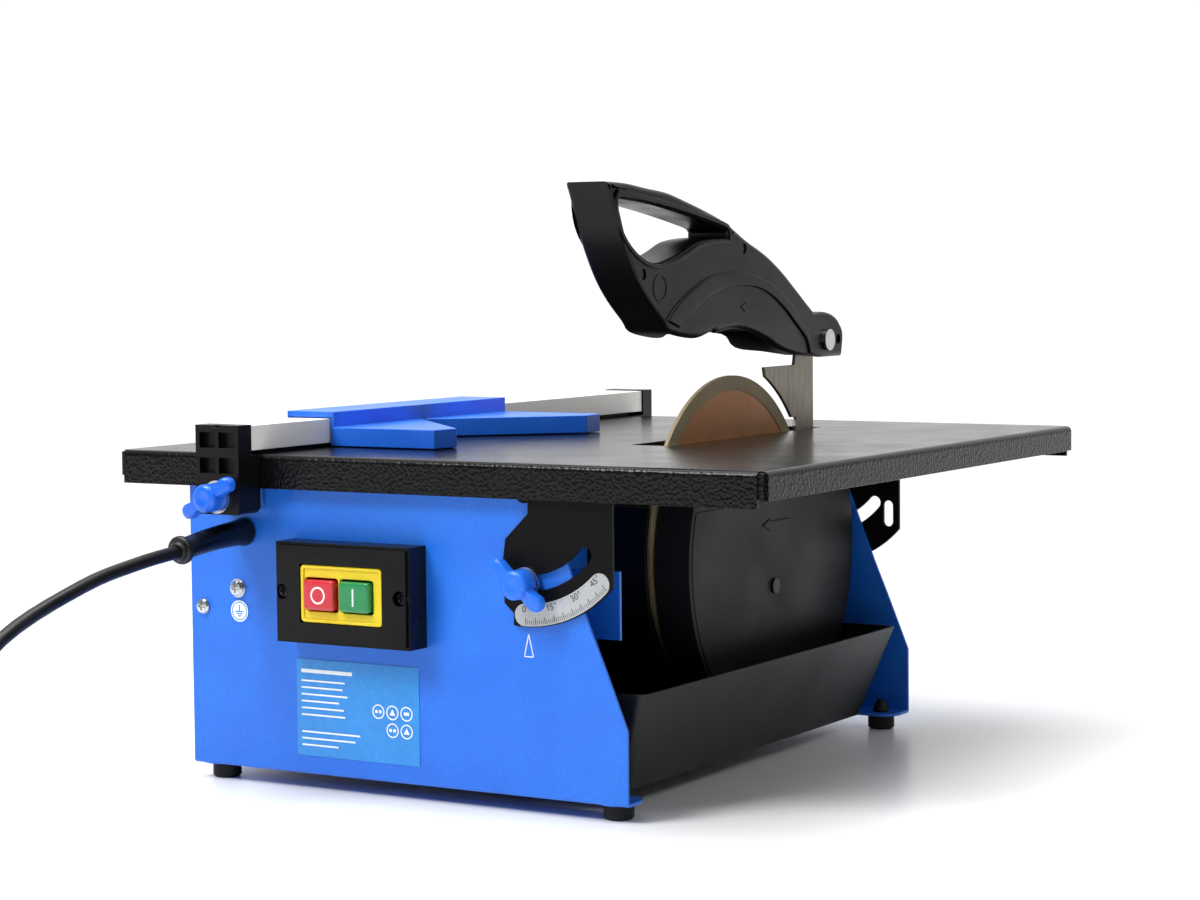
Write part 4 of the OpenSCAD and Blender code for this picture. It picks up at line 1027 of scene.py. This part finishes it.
# ---- switch ---------------------------------------------------------------------------
@dataclass
class Switch:
    """The no-volt switch: housing, yellow frame and two buttons."""

    line: float = 0.9
    inset: float = 0.7
    lip: float = 0.7

    def frame_plate(self) -> None:
        """Moulds the yellow frame, with a raised border round both buttons."""
        low, high = (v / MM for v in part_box("switch_frame"))
        windows = []
        for node in ("stop_button", "start_button"):
            a, b = (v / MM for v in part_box(node))
            windows.append(round_rect(a.x - 0.2, a.z - 0.2, b.x + 0.2, b.z + 0.2, 1.6))
        bm = bmesh.new()
        outer = round_rect(low.x + 0.1, low.z + 0.1, high.x - 0.1, high.z - 0.1, 2.4)
        plate(bm, outer, windows, high.y, low.y + self.lip - 0.1, 0.4, facing_y)
        plate(bm, outer, [offset(outer, 2.0)], high.y, low.y - 0.3, 0.6, facing_y)
        piece = from_bmesh("switch_frame_moulding", bm, YELLOW)
        weigh(piece)
        stand_in(piece, "switch_frame")

    def button(self, node: str, finish: Finish) -> Tuple[Vector, Vector]:
        """Moulds one button, and returns its lowest and highest corners in millimetres."""
        low, high = (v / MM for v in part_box(node))
        bm = bmesh.new()
        shape = round_rect(low.x + self.inset, low.z + self.inset,
                           high.x - self.inset, high.z - self.inset, 2.0)
        plate(bm, shape, [], high.y, low.y + 0.05, 1.5, facing_y)
        piece = from_bmesh(node + "_moulding", bm, finish)
        weigh(piece)
        stand_in(piece, node)
        return low, high

    def build(self) -> None:
        """Dresses the switch, and prints the signs on its buttons."""
        soften("switch_housing", BLACK_ABS, 0.6)
        self.frame_plate()
        dress("switch_block", BLACK_ABS)
        # Painted shade: the switch's screws are painted dark for the shade in their deep holes.
        dress("switch_screws", ZINC_PAINTED_SHADE)
        for node, finish, sign in (("stop_button", RED, "ring"), ("start_button", GREEN, "bar")):
            low, high = self.button(node, finish)
            x, z = (low.x + high.x) / 2 * MM, (low.z + high.z) / 2 * MM
            front, back = low.y * MM, (low.y + 0.3) * MM
            bm = bmesh.new()
            if sign == "ring":
                ring_slab(bm, (x, z), 4.4 * MM, (4.4 - self.line) * MM, front, back)
            else:
                slab(bm, rect(x - self.line / 2 * MM, z - 4.4 * MM, x + self.line / 2 * MM, z + 4.4 * MM),
                     front, back)
            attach(from_bmesh(node + "_sign", bm, INK_WHITE), BODY_OF[node])


# ---- cutting parts ----------------------------------------------------------------------
@dataclass
class GuardHood:
    """The upper guard: two moulded half shells with a grip, a rib and screw holes, in millimetres."""

    middle: float = 60.0
    half: float = 13.0
    wall: float = 2.5
    edge: float = 3.0
    back_line: Tuple[Flat, ...] = (
        (135, 213), (137, 226), (132, 233), (125, 237), (114, 239), (102, 239), (97, 241), (77, 253),
        (60, 263), (41, 272), (18, 280), (-4, 289), (-26, 295), (-48, 300), (-68, 304), (-89, 306),
        (-109, 308), (-129, 308.5), (-122, 294), (-115, 279), (-103, 261), (-90, 248), (-75, 237),
        (-69, 232), (-53, 229), (-36, 228), (-20, 231))
    belly_right: Tuple[Flat, ...] = (
        (-16, 230), (4, 232), (22, 230), (41, 225), (55, 220), (74, 216), (96, 214), (109, 213))
    belly_left: Tuple[Flat, ...] = ((32, 228), (48, 220), (80, 217), (109, 214))
    grip: Tuple[Flat, ...] = (
        (-119, 299), (-117, 289), (-110, 280), (-97, 272), (-81, 268), (-65, 270), (-50, 274),
        (-35, 279), (-15, 281), (-4, 281), (-6, 285), (-26, 289), (-58, 294), (-89, 298), (-116, 300))
    rib: Tuple[Flat, ...] = (
        (96, 215), (92, 224), (79, 237), (65, 247), (48, 255), (29, 260), (9, 263), (-9, 262), (-27, 260),
        (-44, 254), (-61, 246), (-72, 238), (-59, 234), (-48, 240), (-31, 248), (-14, 253), (7, 255),
        (27, 254), (43, 250), (60, 242), (74, 233), (87, 224), (91, 216))
    hollow: Tuple[Flat, ...] = (
        (-64, 200), (150, 200), (150, 226), (120, 226), (100, 220), (-20, 238), (-64, 238))
    screws: Tuple[Flat, ...] = ((-121, 302), (14, 275), (-95, 262), (129, 223))

    def shell(self, node: str, belly: Sequence[Flat], side: float) -> bpy.types.Object:
        """Moulds one half shell.

        Args:
            node: The frame node it stands for.
            belly: The outline's lower edge.
            side: 1 for the right half, -1 for the left.

        Returns:
            The half shell.
        """
        rough = list(self.back_line) + list(belly)
        outline = turn_left(smooth_outline(rough, 4, (0, 17, len(rough) - 1)))
        grip = turn_left(smooth_outline(self.grip, 3, (9, 14)))
        face = self.middle + side * self.half
        bm = bmesh.new()
        plate(bm, outline, [grip], self.middle, face, self.edge, facing_x)
        inner = face - side * self.wall
        start = self.middle - side * 1.0
        cutters = []
        cut = bmesh.new()
        plate(cut, offset(outline, self.wall), [offset(grip, -self.wall)], start, inner, 0.3, facing_x)
        cutters.append(cut)
        cut = bmesh.new()
        plate(cut, self.hollow, [], start, inner, 0.3, facing_x)
        cutters.append(cut)
        if side > 0:
            for y, z in self.screws:
                cut = bmesh.new()
                lathe(cut, [(-1.6 * MM, 2.9 * MM), (2 * MM, 2.9 * MM)], Vector(facing_x(y, z, face)),
                      Vector((1.0, 0.0, 0.0)), 28)
                cutters.append(cut)
        piece = carve(node + "_moulding", bm, cutters, BLACK_ABS)
        weigh(piece)
        return stand_in(piece, node)

    def reliefs(self) -> None:
        """Adds the rib, the grip's lip, a plain boss and an arrow on the right side."""
        face = self.middle + self.half
        bm = bmesh.new()
        plate(bm, smooth_outline(self.rib, 3, (0, 11, 12, 22)), [], face - 1, face + 1.2, 1.1, facing_x)
        grip = turn_left(smooth_outline(self.grip, 3, (9, 14)))
        lip = offset(grip, -3.4)
        plate(bm, lip, [offset(grip, -3.1 + 2.0)], face - 1, face + 0.7, 0.5, facing_x)
        plate(bm, disc(-78, 255, 7.2, 36), [disc(-78, 255, 6.2, 36)], face - 1, face + 0.35, 0.2, facing_x)
        arrow = [(10, 243.5), (15, 240.6), (15, 242.6), (26, 242.9), (37, 242.2), (37, 243.4), (26, 244.1),
                 (15, 243.8), (15, 246.2)]
        plate(bm, arrow, [], face - 1, face + 0.35, 0.15, facing_x)
        piece = from_bmesh("guard_reliefs", bm, BLACK_ABS)
        weigh(piece)
        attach(piece, "guard")

    def build(self) -> None:
        """Moulds both halves and their reliefs."""
        self.shell("guard_shell_right", self.belly_right, 1.0)
        self.shell("guard_shell_left", self.belly_left, -1.0)
        self.reliefs()
        # Painted shade: the guard's screws are painted dark for the shade in their deep holes.
        dress("guard_screws", ZINC_PAINTED_SHADE)
        dress("guard_pivot", ZINC)


@dataclass
class CuttingHead:
    """Motor, blade, knife and lower guard."""

    cover_edge: float = 0.9

    def build(self) -> None:
        """Dresses the motor, the blade, the knife and the lower guard."""
        soften("lower_guard_inner", BLACK_ABS, 0.5)
        soften("lower_guard_cover", GREY_ABS, self.cover_edge, 40)
        dress_all(ZINC, "knife_screws", "motor_screws", "arbor_nut")
        # Painted shade: the lower guard's screws take the same dark painted shade.
        dress("lower_guard_screws", ZINC_PAINTED_SHADE)
        dress_all(GROUND, "blade_flanges", "motor_shaft", "knife_bracket", "shaft_bearings")
        soften("riving_knife", KNIFE, 0.25)
        dress("blade_core", COPPER)
        dress("blade_rim", DIAMOND)
        dress_all(LAMINATION, "motor_stator", "motor_rotor")
        dress("motor_windings", VARNISH)
        soften("motor_end_bells", CASTING, 0.6)
        dress("run_capacitor", CAN)
        dress("cooling_fan", BLACK_ABS)
        soften("water_tray", TRAY_PP, 0.5, 40)


# ---- fence --------------------------------------------------------------------------------
@dataclass
class Fence:
    """Rail, clamps, angle guide and their knobs."""

    middle: float = -111.75
    stud: float = 151.0
    knob_face: float = 211.1
    knob_turn: float = 31.0

    def build(self) -> None:
        """Dresses the fence, and moulds its knobs."""
        soften("fence_rail", ANODISED, 0.3)
        dress("fence_glide", RUBBER)
        soften("fence_clamps", BLACK_ABS, 0.5)
        dress_all(ZINC, "fence_pads", "fence_washers")
        soften("angle_guide", BLUE_PP, 0.5)
        for node, way in (("fence_knob_front", -1.0), ("fence_knob_rear", 1.0)):
            centre = (self.middle, way * self.knob_face, self.stud)
            WingKnob(node, centre, way, way * self.knob_turn).build()


@dataclass
class TiltLock:
    """The two knobs that clamp the table's tilt."""

    x: float = 60.0
    z: float = 113.5
    turn: float = 38.0

    def build(self) -> None:
        """Moulds both knobs."""
        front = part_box("tilt_knob_front")[1].y / MM
        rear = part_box("tilt_knob_rear")[0].y / MM
        WingKnob("tilt_knob_front", (self.x, front, self.z), -1.0, self.turn).build()
        WingKnob("tilt_knob_rear", (self.x, rear, self.z), 1.0, -self.turn).build()


def main() -> None:
    """Builds the studio and each sub-assembly in turn."""
    logging.basicConfig(level=logging.INFO, format="%(message)s")
    Studio().build()
    for part in (MainsLead(), Casing(), Switch(), GuardHood(), CuttingHead(), Fence(), TiltLock()):
        part.build()
        log.info("built %s", type(part).__name__)


if __name__ == "__main__":
    main()
